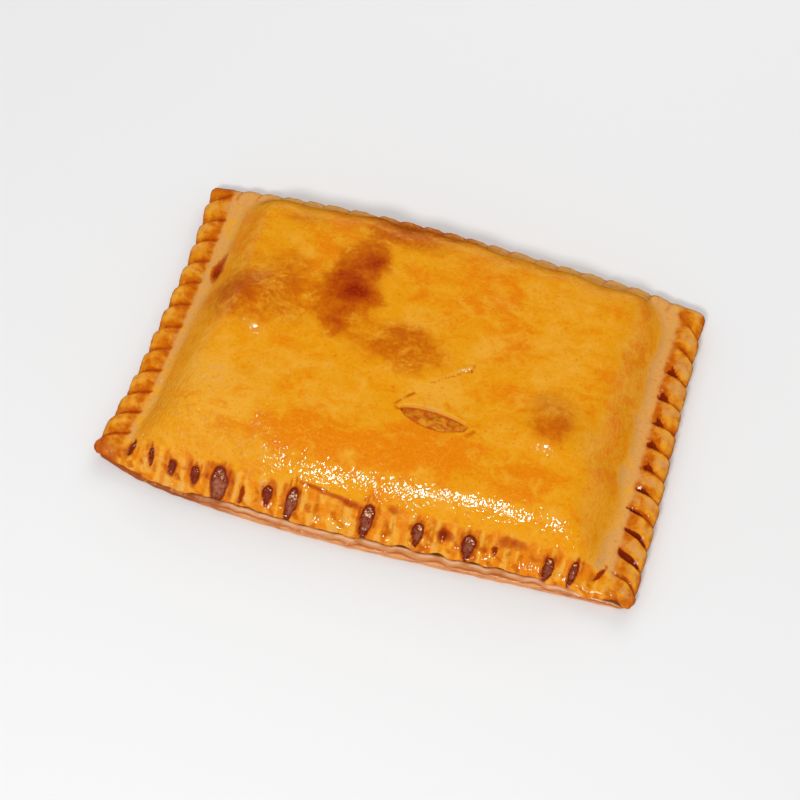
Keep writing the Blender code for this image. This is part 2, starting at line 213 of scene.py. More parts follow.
FRONT = Side(
    turn=0, half=LENGTH / 2, across=WIDTH / 2, lobes=21,
    grooves=(
        -130.5, -117, -104, -90.5, -77, -63.5, -49.5, -36, -22, -8,
        5.5, 20, 33.5, 47, 61, 75, 89, 104, 117, 130,
    ),
    slant=((-1, 0.0), (1, 0.0)), fold_crest=0.5, fold_fall=2.0,
    deep=((0, 0.5), (3, 0.9), (8, 0.7), (12, 0.1), (14, 0.0)), inner=14,
    bow=((-1, 0.6), (-0.78, 3.6), (-0.45, 5.5), (-0.05, 4.4), (0.3, 0.6), (0.75, -1.9), (1, 0.6)),
    foot=2.5, foot_lean=0, reach=46, power=2.7,
    crimp_insets=(-0.9, -1.2, 1.0, 4.0, 7.2, 10.5, 14.0), edge_heights=WALL_EDGE,
)
RIGHT = Side(
    turn=1, half=WIDTH / 2, across=LENGTH / 2, lobes=13,
    grooves=(-86, -73.5, -61, -47, -33.5, -19.5, -5, 9.5, 25, 41, 57, 72),
    slant=(
        (-1, 1.0), (-0.92, 0.8), (-0.78, 0.42), (-0.64, 0.66), (-0.5, 0.55), (0.55, 0.5),
        (0.8, 0.8), (1, 0.85),
    ),
    fold_crest=0.86, fold_fall=3.2,
    deep=((0, 1.4), (3, 1.6), (8, 1.9), (12, 1.9), (15, 1.2), (17.5, 0.0)), inner=18,
    bow=((-1, 0), (-0.5, 1.2), (0.0, 0.6), (0.5, 0.0), (1, 0.3)),
    foot=21, foot_lean=0, reach=31, power=1.9,
    crimp_insets=(2.5, 0.2, 1.2, 5.0, 10.5, 15.0, 18.5), edge_heights=ROPE_EDGE,
)
BACK = Side(
    turn=2, half=LENGTH / 2, across=WIDTH / 2, lobes=21,
    grooves=(
        -131, -119, -105, -92, -77, -63, -50, -34, -20, -6,
        7, 20, 34, 48, 65, 80, 92, 106, 118.5, 130,
    ),
    slant=((-1, 0.2), (1, 0.2)), fold_crest=0.7, fold_fall=2.0,
    deep=((0, 1.2), (3, 1.4), (7, 1.0), (10, 0.3), (13, 0.0)), inner=13,
    bow=((-1, 0.4), (-0.75, 5.5), (-0.4, 8.0), (0.1, 10.4), (0.65, 6.5), (1, 0)),
    foot=7, foot_lean=0, reach=37, power=4.2,
    crimp_insets=(2.5, 0.2, 1.5, 4.5, 7.5, 9.5, 11.5), edge_heights=ROPE_EDGE,
)
LEFT = Side(
    turn=3, half=WIDTH / 2, across=LENGTH / 2, lobes=13,
    grooves=(-77, -61.5, -47.2, -32, -17, -2, 13.6, 28.6, 43.2, 57.6, 71, 85),
    slant=((-1, -0.6), (0, -0.5), (1, -0.48)), fold_crest=0.16, fold_fall=1.7,
    deep=((0, 2.0), (3, 2.5), (8, 2.2), (12, 1.2), (15, 0.6), (18, 0.0)), inner=18,
    bow=((-1, 0), (-0.5, -4.6), (0.0, -5.2), (0.6, -4.3), (1, 0)),
    foot=21, foot_lean=-3.5, reach=32, power=1.9,
    crimp_insets=(2.5, 0.2, 1.2, 5.0, 10.0, 14.5, 18.0), edge_heights=ROPE_EDGE,
)


@dataclass(frozen=True)
class Form:
    """The empanada's plan and heights, which all its layers share."""

    sides: tuple[Side, ...] = (FRONT, RIGHT, BACK, LEFT)
    corner_radius: float = 4.5
    dome_radius: float = 30.0
    crimp_width: float = 14.0
    corner_blend: float = 26.0
    bow_fade: float = 42.0
    bow_lost: float = 0.8
    closing_share: float = 0.8
    most_closing: float = 4.0
    rounding_reach: float = 35.0
    wall_join: float = 2.2
    sheet: float = 5.0
    valley_top: float = 9.0
    crest: float = 35.0
    crease_ease: float = 4.6
    middle_rise: float = 2.0
    foot_wander: float = 1.3
    wander_pitch: float = 34.0
    front_wave_pitch: float = 13.0
    bulge_at: float = -103.0
    bulge_wide: float = 17.0
    bulge_out: float = 2.2
    blister_wide: float = 17.0
    unevenness: float = 0.35
    uneven_pitch: float = 26.0
    # Broad swells of the dome: middle, reach and height
    swells: tuple[tuple[float, float, float, float], ...] = (
        (-60, 45, 62, 3.6),
        (-93, 10, 17, 2.4),
        (-41, 30, 18, 2.6),
        (-4, 2, 17, 1.8),
        (84, -16, 16, 1.6),
        (78, -78, 20, 1.6),
    )
    # Blisters, steeper on their front side: middle, reach to the back and to the front, height
    blisters: tuple[tuple[float, float, float, float, float], ...] = (
        (-88, -1, 24, 12.0, 7.6),
        (86, -25, 18, 12.0, 7.8),
        (-38, 22, 22, 13, 1.6),
        (-2, -4, 16, 11, 1.2),
    )
    rope: Stations = ((3.0, 12.8), (5.0, 13.6), (8.0, 13.5), (11.0, 12.0), (14.0, 9.8), (17.0, 9.0))

    def corner(self, side: Side) -> float:
        """Distance u of the middle of a side's corners."""
        return side.half - self.corner_radius + self.corner_radius * math.pi / 4

    def bow_at(self, side: Side, place: Array, inset: Array) -> Array:
        """How far a side bows out, less and less inwards."""
        return along(side.bow, place) * (1 - self.bow_lost * smooth(inset / self.bow_fade))

    def plan_point(self, side: Side, u: Array, inset: Array) -> tuple[Array, Array]:
        """Move points of the rim in by an inset.

        Args:
            side: The side that they are on.
            u: Their places along it.
            inset: How far each moves in.

        Returns:
            Their positions along X and Y.
        """
        corner = self.corner(side)
        deep = smooth((inset - self.crimp_width) / self.rounding_reach)
        radius = self.corner_radius + (self.dome_radius - self.corner_radius) * deep
        straight = side.half - inset - radius
        squeeze = 1 - (straight + radius * math.pi / 4) / corner
        closing = self.closing_share * (1 / np.maximum(squeeze, 1e-6) - 1)
        power = np.where(squeeze > 0, np.minimum(self.most_closing, closing), self.most_closing)
        place = np.abs(u) / corner
        u_in = u * (1 - squeeze * place ** (power * (1 - deep)))
        angle = np.maximum(np.abs(u_in) - straight, 0) / radius
        round_x = np.copysign(straight + radius * np.sin(angle), u_in)
        x = np.where(angle > 0, round_x, u_in)
        y = inset - side.across + radius * (1 - np.cos(angle))
        y = y - self.bow_at(side, u / corner, inset)
        for _ in range(side.turn):
            x, y = -y, x
        return x, y

    def insets_at(self, x: Array, y: Array) -> list[tuple[Array, Array]]:
        """Inset of plan positions from each side, with their places along it.

        Args:
            x: Plan positions along X.
            y: Plan positions along Y.

        Returns:
            For each side the insets and the places, which run from -1 to 1.
        """
        found = []
        for side in self.sides:
            place = np.clip(x / side.half, -1.0, 1.0)
            straight = y + side.across
            found.append((straight + self.bow_at(side, place, straight), place))
            x, y = y, -x
        return found

    def dome_share(self, x: Array, y: Array) -> Array:
        """Share of the dome's height.

        Args:
            x: Plan positions along X.
            y: Plan positions along Y.

        Returns:
            The share: 0 at the dome's foot, 1 at the crest and below 0 outside.
        """
        lack = np.zeros(np.shape(x))
        for side, (inset, place) in zip(self.sides, self.insets_at(x, y)):
            wander = wavy(place * side.half, 0 * place, self.wander_pitch, 80 + side.turn)
            lean = side.foot_lean * place
            t = (inset + self.foot_wander * wander - side.foot - lean) / (side.reach - lean)
            lack += np.maximum(1 - t, 0.0) ** (side.power * self.wall_join)
        return 1 - lack ** (1 / self.wall_join)

    def swell(self, x: Array, y: Array) -> Array:
        """How far the top of the crust stands above its crest.

        Args:
            x: Plan positions along X.
            y: Plan positions along Y.

        Returns:
            The extra height in the dome's middle.
        """
        height = self.middle_rise * (1 - (2 * x / LENGTH) ** 2) * (1 - (2 * y / WIDTH) ** 2)
        for centre_x, centre_y, reach, top in self.swells:
            height = height + top * bell(np.hypot(x - centre_x, y - centre_y) / reach)
        for centre_x, centre_y, back, front, top in self.blisters:
            reach = np.where(y > centre_y, back, front)
            lengthwise = top * bell((y - centre_y) / reach)
            height = height + lengthwise * bell((x - centre_x) / self.blister_wide)
        return height + self.unevenness * wavy(x, y, self.uneven_pitch, 5)

    def top(self, x: Array, y: Array) -> Array:
        """Height of the top crust.

        Args:
            x: Plan positions along X.
            y: Plan positions along Y.

        Returns:
            The height: the rope round the rim, or the dome where that is higher.
        """
        share = np.maximum(self.dome_share(x, y), 0.0)
        dome = self.valley_top + share * (self.crest - self.valley_top + self.swell(x, y))
        nearest = np.min([inset for inset, _ in self.insets_at(x, y)[1:]], axis=0)
        rope = along(self.rope, nearest)
        ease = np.maximum(self.crease_ease - np.abs(dome - rope), 0.0)
        return np.maximum(dome, rope) + ease * ease / (4 * self.crease_ease)

    def foot_wave(self, u: Array) -> Array:
        """How far in the front wall's foot wanders: small waves, and a bulge by the burnt mark."""
        bulge = self.bulge_out * bell((u - self.bulge_at) / self.bulge_wide)
        return wavy(u, 0 * u, self.front_wave_pitch, 25) - bulge

    def blended(self, index: int, u: Array, pick: Callable[[Side], float]) -> Array:
        """A value of a side, eased into its neighbour's towards the corner.

        Args:
            index: Which side.
            u: Places along it.
            pick: Function that reads the value of a side.

        Returns:
            The value at each place.
        """
        side = self.sides[index]
        last = self.sides[(index + 1) % 4]
        first = self.sides[(index - 1) % 4]
        share = 0.5 * (1 - smooth((self.corner(side) - np.abs(u)) / self.corner_blend))
        other = np.where(u > 0, pick(last), pick(first))
        return (1 - share) * pick(side) + share * other


@dataclass
class Skin:
    """Rings of points round the rim, with named values at each point."""

    x: Array
    y: Array
    z: Array
    values: dict[str, Array]

    def points(self) -> Array:
        """The points as one array of rings, places and axes."""
        return np.stack((self.x, self.y, self.z), axis=-1)

    def normals(self) -> Array:
        """Unit normals of the rings' surface.

        Returns:
            The normals, which point outwards and upwards.
        """
        points = self.points()
        inwards = np.gradient(points, axis=0)
        wrapped = np.concatenate((points[:, -1:], points, points[:, :1]), axis=1)
        onwards = wrapped[:, 2:] - wrapped[:, :-2]
        normal = np.cross(onwards, inwards)
        return normal / np.maximum(np.linalg.norm(normal, axis=-1, keepdims=True), 1e-9)

    def push(self, height: Array) -> None:
        """Move every point along its normal."""
        moved = self.points() + self.normals() * height[..., None]
        self.x, self.y, self.z = np.moveaxis(moved, -1, 0)


class PitKind(Enum):
    """How a pinch mark looks: its depth in millimetres, and how charred and how ashen it is."""

    FAINT = (0.5, 0.25, 0.0)
    SMALL = (1.0, 0.6, 0.0)
    MEDIUM = (1.7, 0.9, 0.15)
    LARGE = (2.3, 1.0, 0.6)
    BURNT = (1.5, 0.9, 0.9)

    @property
    def depth(self) -> float:
        """How far the dough is pressed in."""
        return self.value[0]

    @property
    def char(self) -> float:
        """How dark the mark is, up to 1."""
        return self.value[1]

    @property
    def ash(self) -> float:
        """How grey the bottom of the mark is, up to 1."""
        return self.value[2]


@dataclass(frozen=True)
class Pit:
    """A pinch mark: its middle, half its size, its lean, and how much narrower its low end is."""

    u: float
    inset: float
    wide: float
    long: float
    kind: PitKind
    lean: float = 0.0
    taper: float = 0.45

    def nearness(self, u: Array, inset: Array) -> Array:
        """Distance from the pit's middle, where 1 is its edge.

        Args:
            u: Places along the front.
            inset: Their insets.

        Returns:
            The distance, in sizes of the pit.
        """
        up = (inset - self.inset) / self.long
        wide = self.wide * (1 + self.taper * np.clip(up, -1.5, 1.0))
        uneven = 0.10 * self.wide * wavy(u, inset * 0.7, 3.6, int(self.u + 400))
        across = u - self.u + uneven - self.lean * (inset - self.inset)
        return np.hypot(across / np.maximum(0.84 * wide, 0.2), up)


FRONT_PITS = (
    Pit(-130.2, 8.9, 1.9, 4.6, PitKind.MEDIUM, 0.05, 0.1),
    Pit(-117.0, 6.4, 2.1, 4.0, PitKind.MEDIUM, -0.08),
    Pit(-104.0, 4.5, 2.5, 3.3, PitKind.MEDIUM, -0.1),
    Pit(-90.5, 4.7, 3.1, 3.9, PitKind.MEDIUM, 0.05),
    Pit(-76.8, 4.5, 6.3, 7.4, PitKind.BURNT, 0.0, 0.1),
    Pit(-63.5, 3.2, 1.9, 4.0, PitKind.SMALL, 0.1, -0.2),
    Pit(-49.5, 5.4, 3.1, 4.3, PitKind.MEDIUM),
    Pit(-36.0, 4.8, 4.0, 6.8, PitKind.LARGE, 0.12, 0.2),
    Pit(-22.0, 5.5, 0.9, 4.2, PitKind.FAINT, 0.0, -0.2),
    Pit(-8.0, 6.0, 0.9, 4.2, PitKind.FAINT, 0.0, -0.2),
    Pit(5.5, 5.2, 4.3, 7.3, PitKind.LARGE, 0.05, 0.4),
    Pit(20.0, 6.4, 0.9, 4.2, PitKind.FAINT, -0.1, -0.2),
    Pit(33.5, 4.2, 3.5, 4.9, PitKind.LARGE, 0.0, 0.5),
    Pit(47.0, 6.2, 2.6, 2.2, PitKind.SMALL, 0.0, 0.7),
    Pit(61.0, 3.8, 3.9, 5.4, PitKind.LARGE, 0.0, 0.5),
    Pit(75.0, 5.4, 1.8, 2.0, PitKind.SMALL, 0.0, 0.6),
    Pit(89.0, 4.8, 1.4, 1.8, PitKind.FAINT),
    Pit(104.0, 3.4, 3.4, 5.1, PitKind.LARGE, 0.12, 0.2),
    Pit(117.2, 4.8, 2.5, 5.9, PitKind.LARGE, 0.18, 0.25),
    Pit(130.5, 10.6, 1.7, 4.6, PitKind.SMALL, 0.45, 0.2),
)


@dataclass(frozen=True)
class Nick:
    """A charred three-cornered hollow beside a groove of the rope: its long edge lies along it."""

    u: float
    inset: float
    high: float
    long: float
    depth: float = 1.3

    def nearness(self, above: Array, inset: Array) -> Array:
        """Distance from the nick's long edge, where 1 is its outline.

        Args:
            above: Distance from the groove's line, along the side.
            inset: Insets.

        Returns:
            The distance, in sizes of the nick.
        """
        up = above / self.high
        back = (inset - self.inset) / self.long + 0.16 * wavy(above, inset, 2.4, int(self.u + 200))
        return np.maximum(up + np.abs(back - 0.35 * up), -1.6 * above)


RIGHT_NICKS = (
    Nick(41.8, 11.0, 4.8, 3.1, 0.8),
    Nick(26.0, 12.3, 5.1, 3.3, 0.8),
    Nick(10.6, 11.6, 4.7, 3.0, 0.8),
    Nick(-4.0, 12.0, 4.9, 3.4, 0.8),
    Nick(-18.3, 11.4, 4.9, 3.1, 0.8),
    Nick(-32.6, 11.2, 2.9, 4.0),
    Nick(-47.0, 13.0, 2.0, 3.6, 0.9),
)


class StainKind(Enum):
    """What a baked patch does to the crust's colour."""

    BROWN = "brown"
    ORANGE = "orange"
    PALE = "pale"


@dataclass(frozen=True)
class Stain:
    """A soft-edged patch of colour: its middle, half its size, its turn and its strength."""

    x: float
    y: float
    long: float
    wide: float
    turn: float
    strength: float
    kind: StainKind = StainKind.BROWN

    def share(self, x: Array, y: Array, warp_x: Array, warp_y: Array) -> Array:
        """The patch's strength over the plan.

        Args:
            x: Plan positions along X.
            y: Plan positions along Y.
            warp_x: How far a wide patch's outline wanders along X there.
            warp_y: The same along Y.

        Returns:
            The strength at each position.
        """
        angle = math.radians(self.turn)
        loose = min(1.0, self.wide / 9.0)
        across, up = x + loose * warp_x - self.x, y + loose * warp_y - self.y
        a = (across * math.cos(angle) + up * math.sin(angle)) / self.long
        b = (up * math.cos(angle) - across * math.sin(angle)) / self.wide
        return self.strength * bell(np.hypot(a, b) ** 1.5)


@dataclass(frozen=True)
class Stroke:
    """A thin line cut or scorched in the crust, through plan positions."""

    points: tuple[tuple[float, float], ...]
    wide: float
    strength: float
    depth: float = 0.0
    broken: float = 0.0

    def nearness(self, x: Array, y: Array) -> Array:
        """How strongly the line marks plan positions, from 0 to 1.

        Args:
            x: Plan positions along X.
            y: Plan positions along Y.

        Returns:
            The strength at each position.
        """
        far = np.full(np.shape(x), 99.0)
        for (x0, y0), (x1, y1) in zip(self.points, self.points[1:]):
            length = math.hypot(x1 - x0, y1 - y0)
            t = np.clip(((x - x0) * (x1 - x0) + (y - y0) * (y1 - y0)) / length**2, 0, 1)
            far = np.minimum(far, np.hypot(x - x0 - t * (x1 - x0), y - y0 - t * (y1 - y0)))
        gaps = 1 - self.broken * smooth(0.5 + 1.2 * wavy(x, y, 1.5, 71))
        return bell(far / self.wide) * gaps


CUT_MARKS = (
    # The hook round the start of the gaping cut
    Stroke(
        ((10.6, -21.0), (5.2, -26.2), (2.7, -29.4), (3.4, -31.0), (5.2, -31.7), (7.6, -31.6)),
        1.1, 0.36, 0.4, 0.1,
    ),
    # The shut score, and the mark at its far end
    Stroke(
        ((18.0, -12.2), (20.7, -9.8), (26.7, -5.3), (32.7, -0.9), (36.2, 1.2)),
        0.8, 0.28, 0.3, 0.7,
    ),
    Stroke(((36.8, 0.6), (37.1, 5.4)), 1.0, 0.26, 0.1, 0.2),
    # The end of the gaping cut
    Stroke(((45.0, -36.2), (47.2, -33.6)), 1.7, 0.36, 0.3, 0.2),
)

STAINS = (
    # The browned blister at the left
    Stain(-88, 14, 38, 27, 12, 0.32),
    Stain(-80, 34, 18, 15, 40, 0.08),
    Stain(-100, 9, 15, 11, 0, 0.16),
    # The darkest blister
    Stain(-40, 48, 15, 20, -8, 0.54),
    Stain(-44, 22, 15, 17, -12, 0.56),
    Stain(-33, 26, 11, 7, 12, 0.40),
    Stain(-34, 50, 6, 6, 0, 0.20),
    Stain(-43, 4, 8, 9, 0, 0.30),
    # The band from it to the back edge
    Stain(-24, 78, 30, 13, -6, 0.40),
    Stain(-80, 68, 20, 6, -4, 0.22),
    Stain(-8, 90, 40, 8, -2, 0.32),
    # The blisters in the middle and at the right
    Stain(-4, 3, 29, 17, 4, 0.36),
    Stain(85, -12, 19, 17, 0, 0.24),
    Stain(88, -24, 14, 11, 0, 0.18),
    # A scorch at the dome's left foot
    Stain(-124.5, 36, 3.0, 8.5, 5, 1.0),
    # The rim's four corners
    Stain(152, 89, 5, 7, 0, 0.28),
    Stain(-149, 96, 12, 6, 0, 0.26),
    Stain(-150, -92, 9, 8, 0, 0.30),
    Stain(150, -92, 7, 8, 0, 0.24),
    # Streaks above the front folds
    Stain(-20, -83.5, 12, 1.1, -3, 0.62),
    Stain(-6, -84.5, 7, 1.4, -3, 0.60),
    Stain(18.5, -82.5, 4, 1.8, 0, 0.50),
    Stain(48, -86, 5, 2.0, 0, 0.48),
    Stain(84, -81, 8, 2.0, 5, 0.48),
    # Deeper colour
    Stain(-60, 60, 18, 26, 0, 0.5, StainKind.ORANGE),
    Stain(30, 60, 30, 22, 0, 0.55, StainKind.ORANGE),
    Stain(54, 26, 11, 12, 0, 0.9, StainKind.ORANGE),
    Stain(36, 42, 16, 8, 20, 0.5, StainKind.ORANGE),
    Stain(-10, -60, 62, 12, 2, 0.9, StainKind.ORANGE),
    Stain(26, -46, 26, 9, 0, 0.9, StainKind.ORANGE),
    Stain(78, -52, 22, 14, 0, 0.6, StainKind.ORANGE),
    Stain(60, -8, 12, 10, 0, 0.6, StainKind.ORANGE),
    Stain(120, 10, 9, 60, 0, 0.5, StainKind.ORANGE),
    Stain(-112, 50, 12, 24, 0, 0.5, StainKind.ORANGE),
    Stain(-66, 24, 8, 26, 0, 0.5, StainKind.ORANGE),
    # Paler dough
    Stain(22, -17, 20, 8, 25, 0.9, StainKind.PALE),
    Stain(-28, -38, 26, 10, 0, 0.55, StainKind.PALE),
    Stain(-92, -48, 26, 24, 0, 0.65, StainKind.PALE),
    Stain(-60, -22, 22, 14, 0, 0.4, StainKind.PALE),
    Stain(80, 25, 20, 22, 0, 0.4, StainKind.PALE),
    Stain(84, 60, 26, 14, 0, 0.4, StainKind.PALE),
    Stain(42, 16, 9, 12, -30, 0.6, StainKind.PALE),
    Stain(62, -30, 14, 10, 0, 0.4, StainKind.PALE),
    Stain(6, 26, 14, 9, 10, 0.5, StainKind.PALE),
)


@dataclass(frozen=True)
class Vent:
    """The steam cut: a gaping lens under a lifted flap, and a shut score beyond the flap."""

    start: tuple[float, float] = (6.6, -30.4)
    end: tuple[float, float] = (43.6, -31.8)
    upper_bulge: float = 3.3
    lower_bulge: float = 7.2
    blunt: float = 0.42
    flap_lift: float = 1.7
    flap_reach: float = 6.0
    lip_depths: tuple[float, ...] = (0.3, 0.8, 1.5, 2.0, 3.4)
    lip_lean: float = 0.9
    reach: tuple[float, float, float, float] = (0.0, -42.0, 50.0, 7.5)
    score: Stroke = CUT_MARKS[1]
    score_shift: tuple[float, float] = (-0.6, 1.4)
    ridge_wide: float = 1.5
    ridge_high: float = 0.85
    ridge_from: float = 22.0
    ridge_fade: float = 8.0
    pale_offset: float = 0.5
    pale_wide: float = 0.9
    pale_fade: float = 0.06
    rim_wide: float = 0.8
    rim_past: float = 0.02

    def lens_place(self, x: Array, y: Array) -> tuple[Array, Array]:
        """Where plan positions lie beside the gaping cut.

        Args:
            x: Positions along X.
            y: Positions along Y.

        Returns:
            The share of the way from its start to its end, and the distance above the chord.
        """
        run_x, run_y = self.end[0] - self.start[0], self.end[1] - self.start[1]
        length = math.hypot(run_x, run_y)
        off_x, off_y = x - self.start[0], y - self.start[1]
        t = (off_x * run_x + off_y * run_y) / length**2
        return t, (off_y * run_x - off_x * run_y) / length

    def edge(self, t: Array, upper: bool) -> Array:
        """The lens's upper or lower edge, as a distance from the chord."""
        arch = np.sin(math.pi * np.clip(t, 0, 1)) ** self.blunt
        return arch * (self.upper_bulge if upper else -self.lower_bulge)

    def inside(self, x: Array, y: Array) -> Array:
        """Whether plan positions are in the gaping lens."""
        t, off = self.lens_place(x, y)
        return (t > 0) & (t < 1) & (off > self.edge(t, False)) & (off < self.edge(t, True))

    def onto_edge(self, x: Array, y: Array) -> tuple[Array, Array]:
        """Move plan positions sideways onto the nearer edge of the lens.

        Args:
            x: Plan positions along X.
            y: Plan positions along Y.

        Returns:
            The moved positions along X and Y.
        """
        t, off = self.lens_place(x, y)
        t = np.clip(t, 0, 1)
        off = np.where(off > 0, self.edge(t, True), self.edge(t, False))
        run_x, run_y = self.end[0] - self.start[0], self.end[1] - self.start[1]
        length = math.hypot(run_x, run_y)
        return (self.start[0] + run_x * t - run_y / length * off,
                self.start[1] + run_y * t + run_x / length * off)

    def near(self, x: Array, y: Array) -> Array:
        """Whether plan positions are close enough to the cuts to need a fine mesh."""
        low_x, low_y, high_x, high_y = self.reach
        return (x > low_x) & (x < high_x) & (y > low_y) & (y < high_y)

    def ridge(self, x: Array, y: Array) -> Array:
        """The pale torn edge above the score's far end, with a painted highlight along it.

        Args:
            x: Plan positions along X.
            y: Plan positions along Y.

        Returns:
            How strong it is, from 0 to 1.
        """
        shift_x, shift_y = self.score_shift
        beside = replace(self.score, wide=self.ridge_wide, broken=0.2)
        fade = smooth((x - self.ridge_from) / self.ridge_fade)
        return beside.nearness(x - shift_x, y - shift_y) * fade

    def lip(self, x: Array, y: Array) -> Array:
        """The pale edge of the lifted flap, with a painted highlight along it.

        Args:
            x: Plan positions along X.
            y: Plan positions along Y.

        Returns:
            How strong it is, from 0 to 1.
        """
        t, off = self.lens_place(x, y)
        line = bell((off - self.edge(t, True) - self.pale_offset) / self.pale_wide)
        return line * smooth(t / self.pale_fade) * smooth((1 - t) / self.pale_fade) * (off > 0)

    def rim(self, x: Array, y: Array) -> Array:
        """The lower edge of the gaping cut: browned, and darker with painted shade.

        Args:
            x: Plan positions along X.
            y: Plan positions along Y.

        Returns:
            How strong it is, from 0 to 1.
        """
        t, off = self.lens_place(x, y)
        line = bell((off - self.edge(t, False)) / self.rim_wide)
        return line * (t > -self.rim_past) * (t < 1 + self.rim_past) * (off <= 0)

    def relief(self, x: Array, y: Array) -> Array:
        """Lift of the crust beside the cuts, and the grooves of the marks.

        Args:
            x: Plan positions along X.
            y: Plan positions along Y.

        Returns:
            The height to add to the crust.
        """
        t, off = self.lens_place(x, y)
        arch = np.sin(math.pi * np.clip(t, 0, 1))
        lift = self.flap_lift * arch * bell((off - self.upper_bulge) / self.flap_reach)
        cuts = sum(mark.depth * mark.nearness(x, y) for mark in CUT_MARKS)
        return lift - cuts + self.ridge_high * self.ridge(x, y)


@dataclass(frozen=True)
class Gloss:
    """How a surface shines: of itself, and through the glaze over it."""

    roughness: float
    specular: float
    coat: float
    coat_roughness: float


class Graph:
    """The nodes of one material, built up socket by socket."""

    def __init__(self, name: str) -> None:
        """Start a material with an empty Principled shader.

        Args:
            name: The material's name.
        """
        self.material = bpy.data.materials.new(name)
        self.material.use_nodes = True
        self.tree = self.material.node_tree
        self.shader = self.tree.nodes["Principled BSDF"]

    def node(self, kind: str, **settings: object) -> bpy.types.Node:
        """Add a node, with its settings.

        Args:
            kind: The node's type.
            settings: Its properties.

        Returns:
            The node.
        """
        made = self.tree.nodes.new(kind)
        for name, value in settings.items():
            setattr(made, name, value)
        return made

    def feed(self, socket: Socket, value: object) -> None:
        """Link a socket to another, or set it to a constant.

        Args:
            socket: The input socket.
            value: The socket or the constant that it takes.
        """
        if isinstance(value, Socket):
            self.tree.links.new(value, socket)
        else:
            socket.default_value = value

    def value(self, name: str) -> Socket:
        """Read a value stored at the mesh's points."""
        return self.node("ShaderNodeAttribute", attribute_name=name).outputs["Fac"]

    def place(self) -> Socket:
        """The position on the object, in metres."""
        return self.node("ShaderNodeTexCoord").outputs["Object"]

    def scaled(self, vector: Socket, scale: Place) -> Socket:
        """A vector stretched along its axes.

        Args:
            vector: The vector.
            scale: How far along each axis.

        Returns:
            The stretched vector.
        """
        made = self.node("ShaderNodeMapping")
        self.feed(made.inputs["Vector"], vector)
        made.inputs["Scale"].default_value = scale
        return made.outputs["Vector"]

    def noise(
        self,
        vector: Socket,
        scale: float,
        detail: float = 2.0,
        rough: float = 0.5,
        warp: float = 0.0,
    ) -> Socket:
        """Noise from 0 to 1.

        Args:
            vector: Where it is read.
            scale: Features for each unit of the vector.
            detail: How many finer octaves.
            rough: How strong those are.
            warp: How far it is distorted.

        Returns:
            The noise's value.
        """
        made = self.node("ShaderNodeTexNoise")
        self.feed(made.inputs["Vector"], vector)
        made.inputs["Scale"].default_value = scale
        made.inputs["Detail"].default_value = detail
        made.inputs["Roughness"].default_value = rough
        made.inputs["Distortion"].default_value = warp
        return made.outputs["Fac"]

    def warped(self, vector: Socket, scale: float, far: float) -> Socket:
        """A vector pushed about by noise.

        Args:
            vector: The vector.
            scale: The noise's features for each unit.
            far: How far it pushes.

        Returns:
            The pushed vector.
        """
        noise = self.node("ShaderNodeTexNoise")
        self.feed(noise.inputs["Vector"], vector)
        noise.inputs["Scale"].default_value = scale
        made = self.node("ShaderNodeVectorMath", operation="MULTIPLY_ADD")
        self.feed(made.inputs[0], noise.outputs["Color"])
        made.inputs[1].default_value = (far, far, far)
        self.feed(made.inputs[2], vector)
        return made.outputs["Vector"]

    def math(self, operation: str, a: object, b: object = 0.0) -> Socket:
        """An arithmetic node.

        Args:
            operation: What it does.
            a: First value.
            b: Second value.

        Returns:
            The result.
        """
        made = self.node("ShaderNodeMath", operation=operation)
        self.feed(made.inputs[0], a)
        self.feed(made.inputs[1], b)
        return made.outputs[0]

    def ramp(self, value: object, low: float, high: float, top: float = 1.0) -> Socket:
        """Ease from 0 at low to top at high.

        Args:
            value: The value.
            low: Where it starts.
            high: Where it ends.
            top: The highest result.

        Returns:
            The eased value.
        """
        made = self.node("ShaderNodeMapRange", interpolation_type="SMOOTHSTEP")
        self.feed(made.inputs["Value"], value)
        made.inputs["From Min"].default_value = low
        made.inputs["From Max"].default_value = high
        made.inputs["To Max"].default_value = top
        return made.outputs["Result"]

    def mix(self, factor: object, a: object, b: object) -> Socket:
        """Mix two colours.

        Args:
            factor: Share of the second.
            a: First colour.
            b: Second colour.

        Returns:
            The mixed colour.
        """
        made = self.node("ShaderNodeMix", data_type="RGBA")
        self.feed(made.inputs["Factor"], factor)
        self.feed(made.inputs["A"], a)
        self.feed(made.inputs["B"], b)
        return made.outputs["Result"]

    def bump(self, height: Socket, distance: float, strength: object) -> Socket:
        """Tilt the surface by a height.

        Args:
            height: The height.
            distance: What a height of 1 stands for, in metres.
            strength: How much of it shows.

        Returns:
            The tilted normal.
        """
        made = self.node("ShaderNodeBump")
        made.inputs["Distance"].default_value = distance
        self.feed(made.inputs["Strength"], strength)
        self.feed(made.inputs["Height"], height)
        return made.outputs["Normal"]

    def finish(self, tint: Socket, gloss: Gloss, normal: Socket, coat_normal: Socket) -> None:
        """Set up the shader.

        Args:
            tint: Its colour.
            gloss: How it shines.
            normal: The normal of the dough.
            coat_normal: The normal of the glaze on it.
        """
        sockets = self.shader.inputs
        self.feed(sockets["Base Color"], tint)
        self.feed(sockets["Normal"], normal)
        self.feed(sockets["Coat Normal"], coat_normal)
        sockets["Roughness"].default_value = gloss.roughness
        sockets["Specular IOR Level"].default_value = gloss.specular
        sockets["Coat Weight"].default_value = gloss.coat
        sockets["Coat Roughness"].default_value = gloss.coat_roughness


def colour(red: int, green: int, blue: int) -> Colour:
    """A colour as seen on a screen, from 0 to 255, as linear light."""
    linear = [
        ((c / 255 + 0.055) / 1.055) ** 2.4 if c > 10 else c / 255 / 12.92
        for c in (red, green, blue)
    ]
    return (*linear, 1.0)


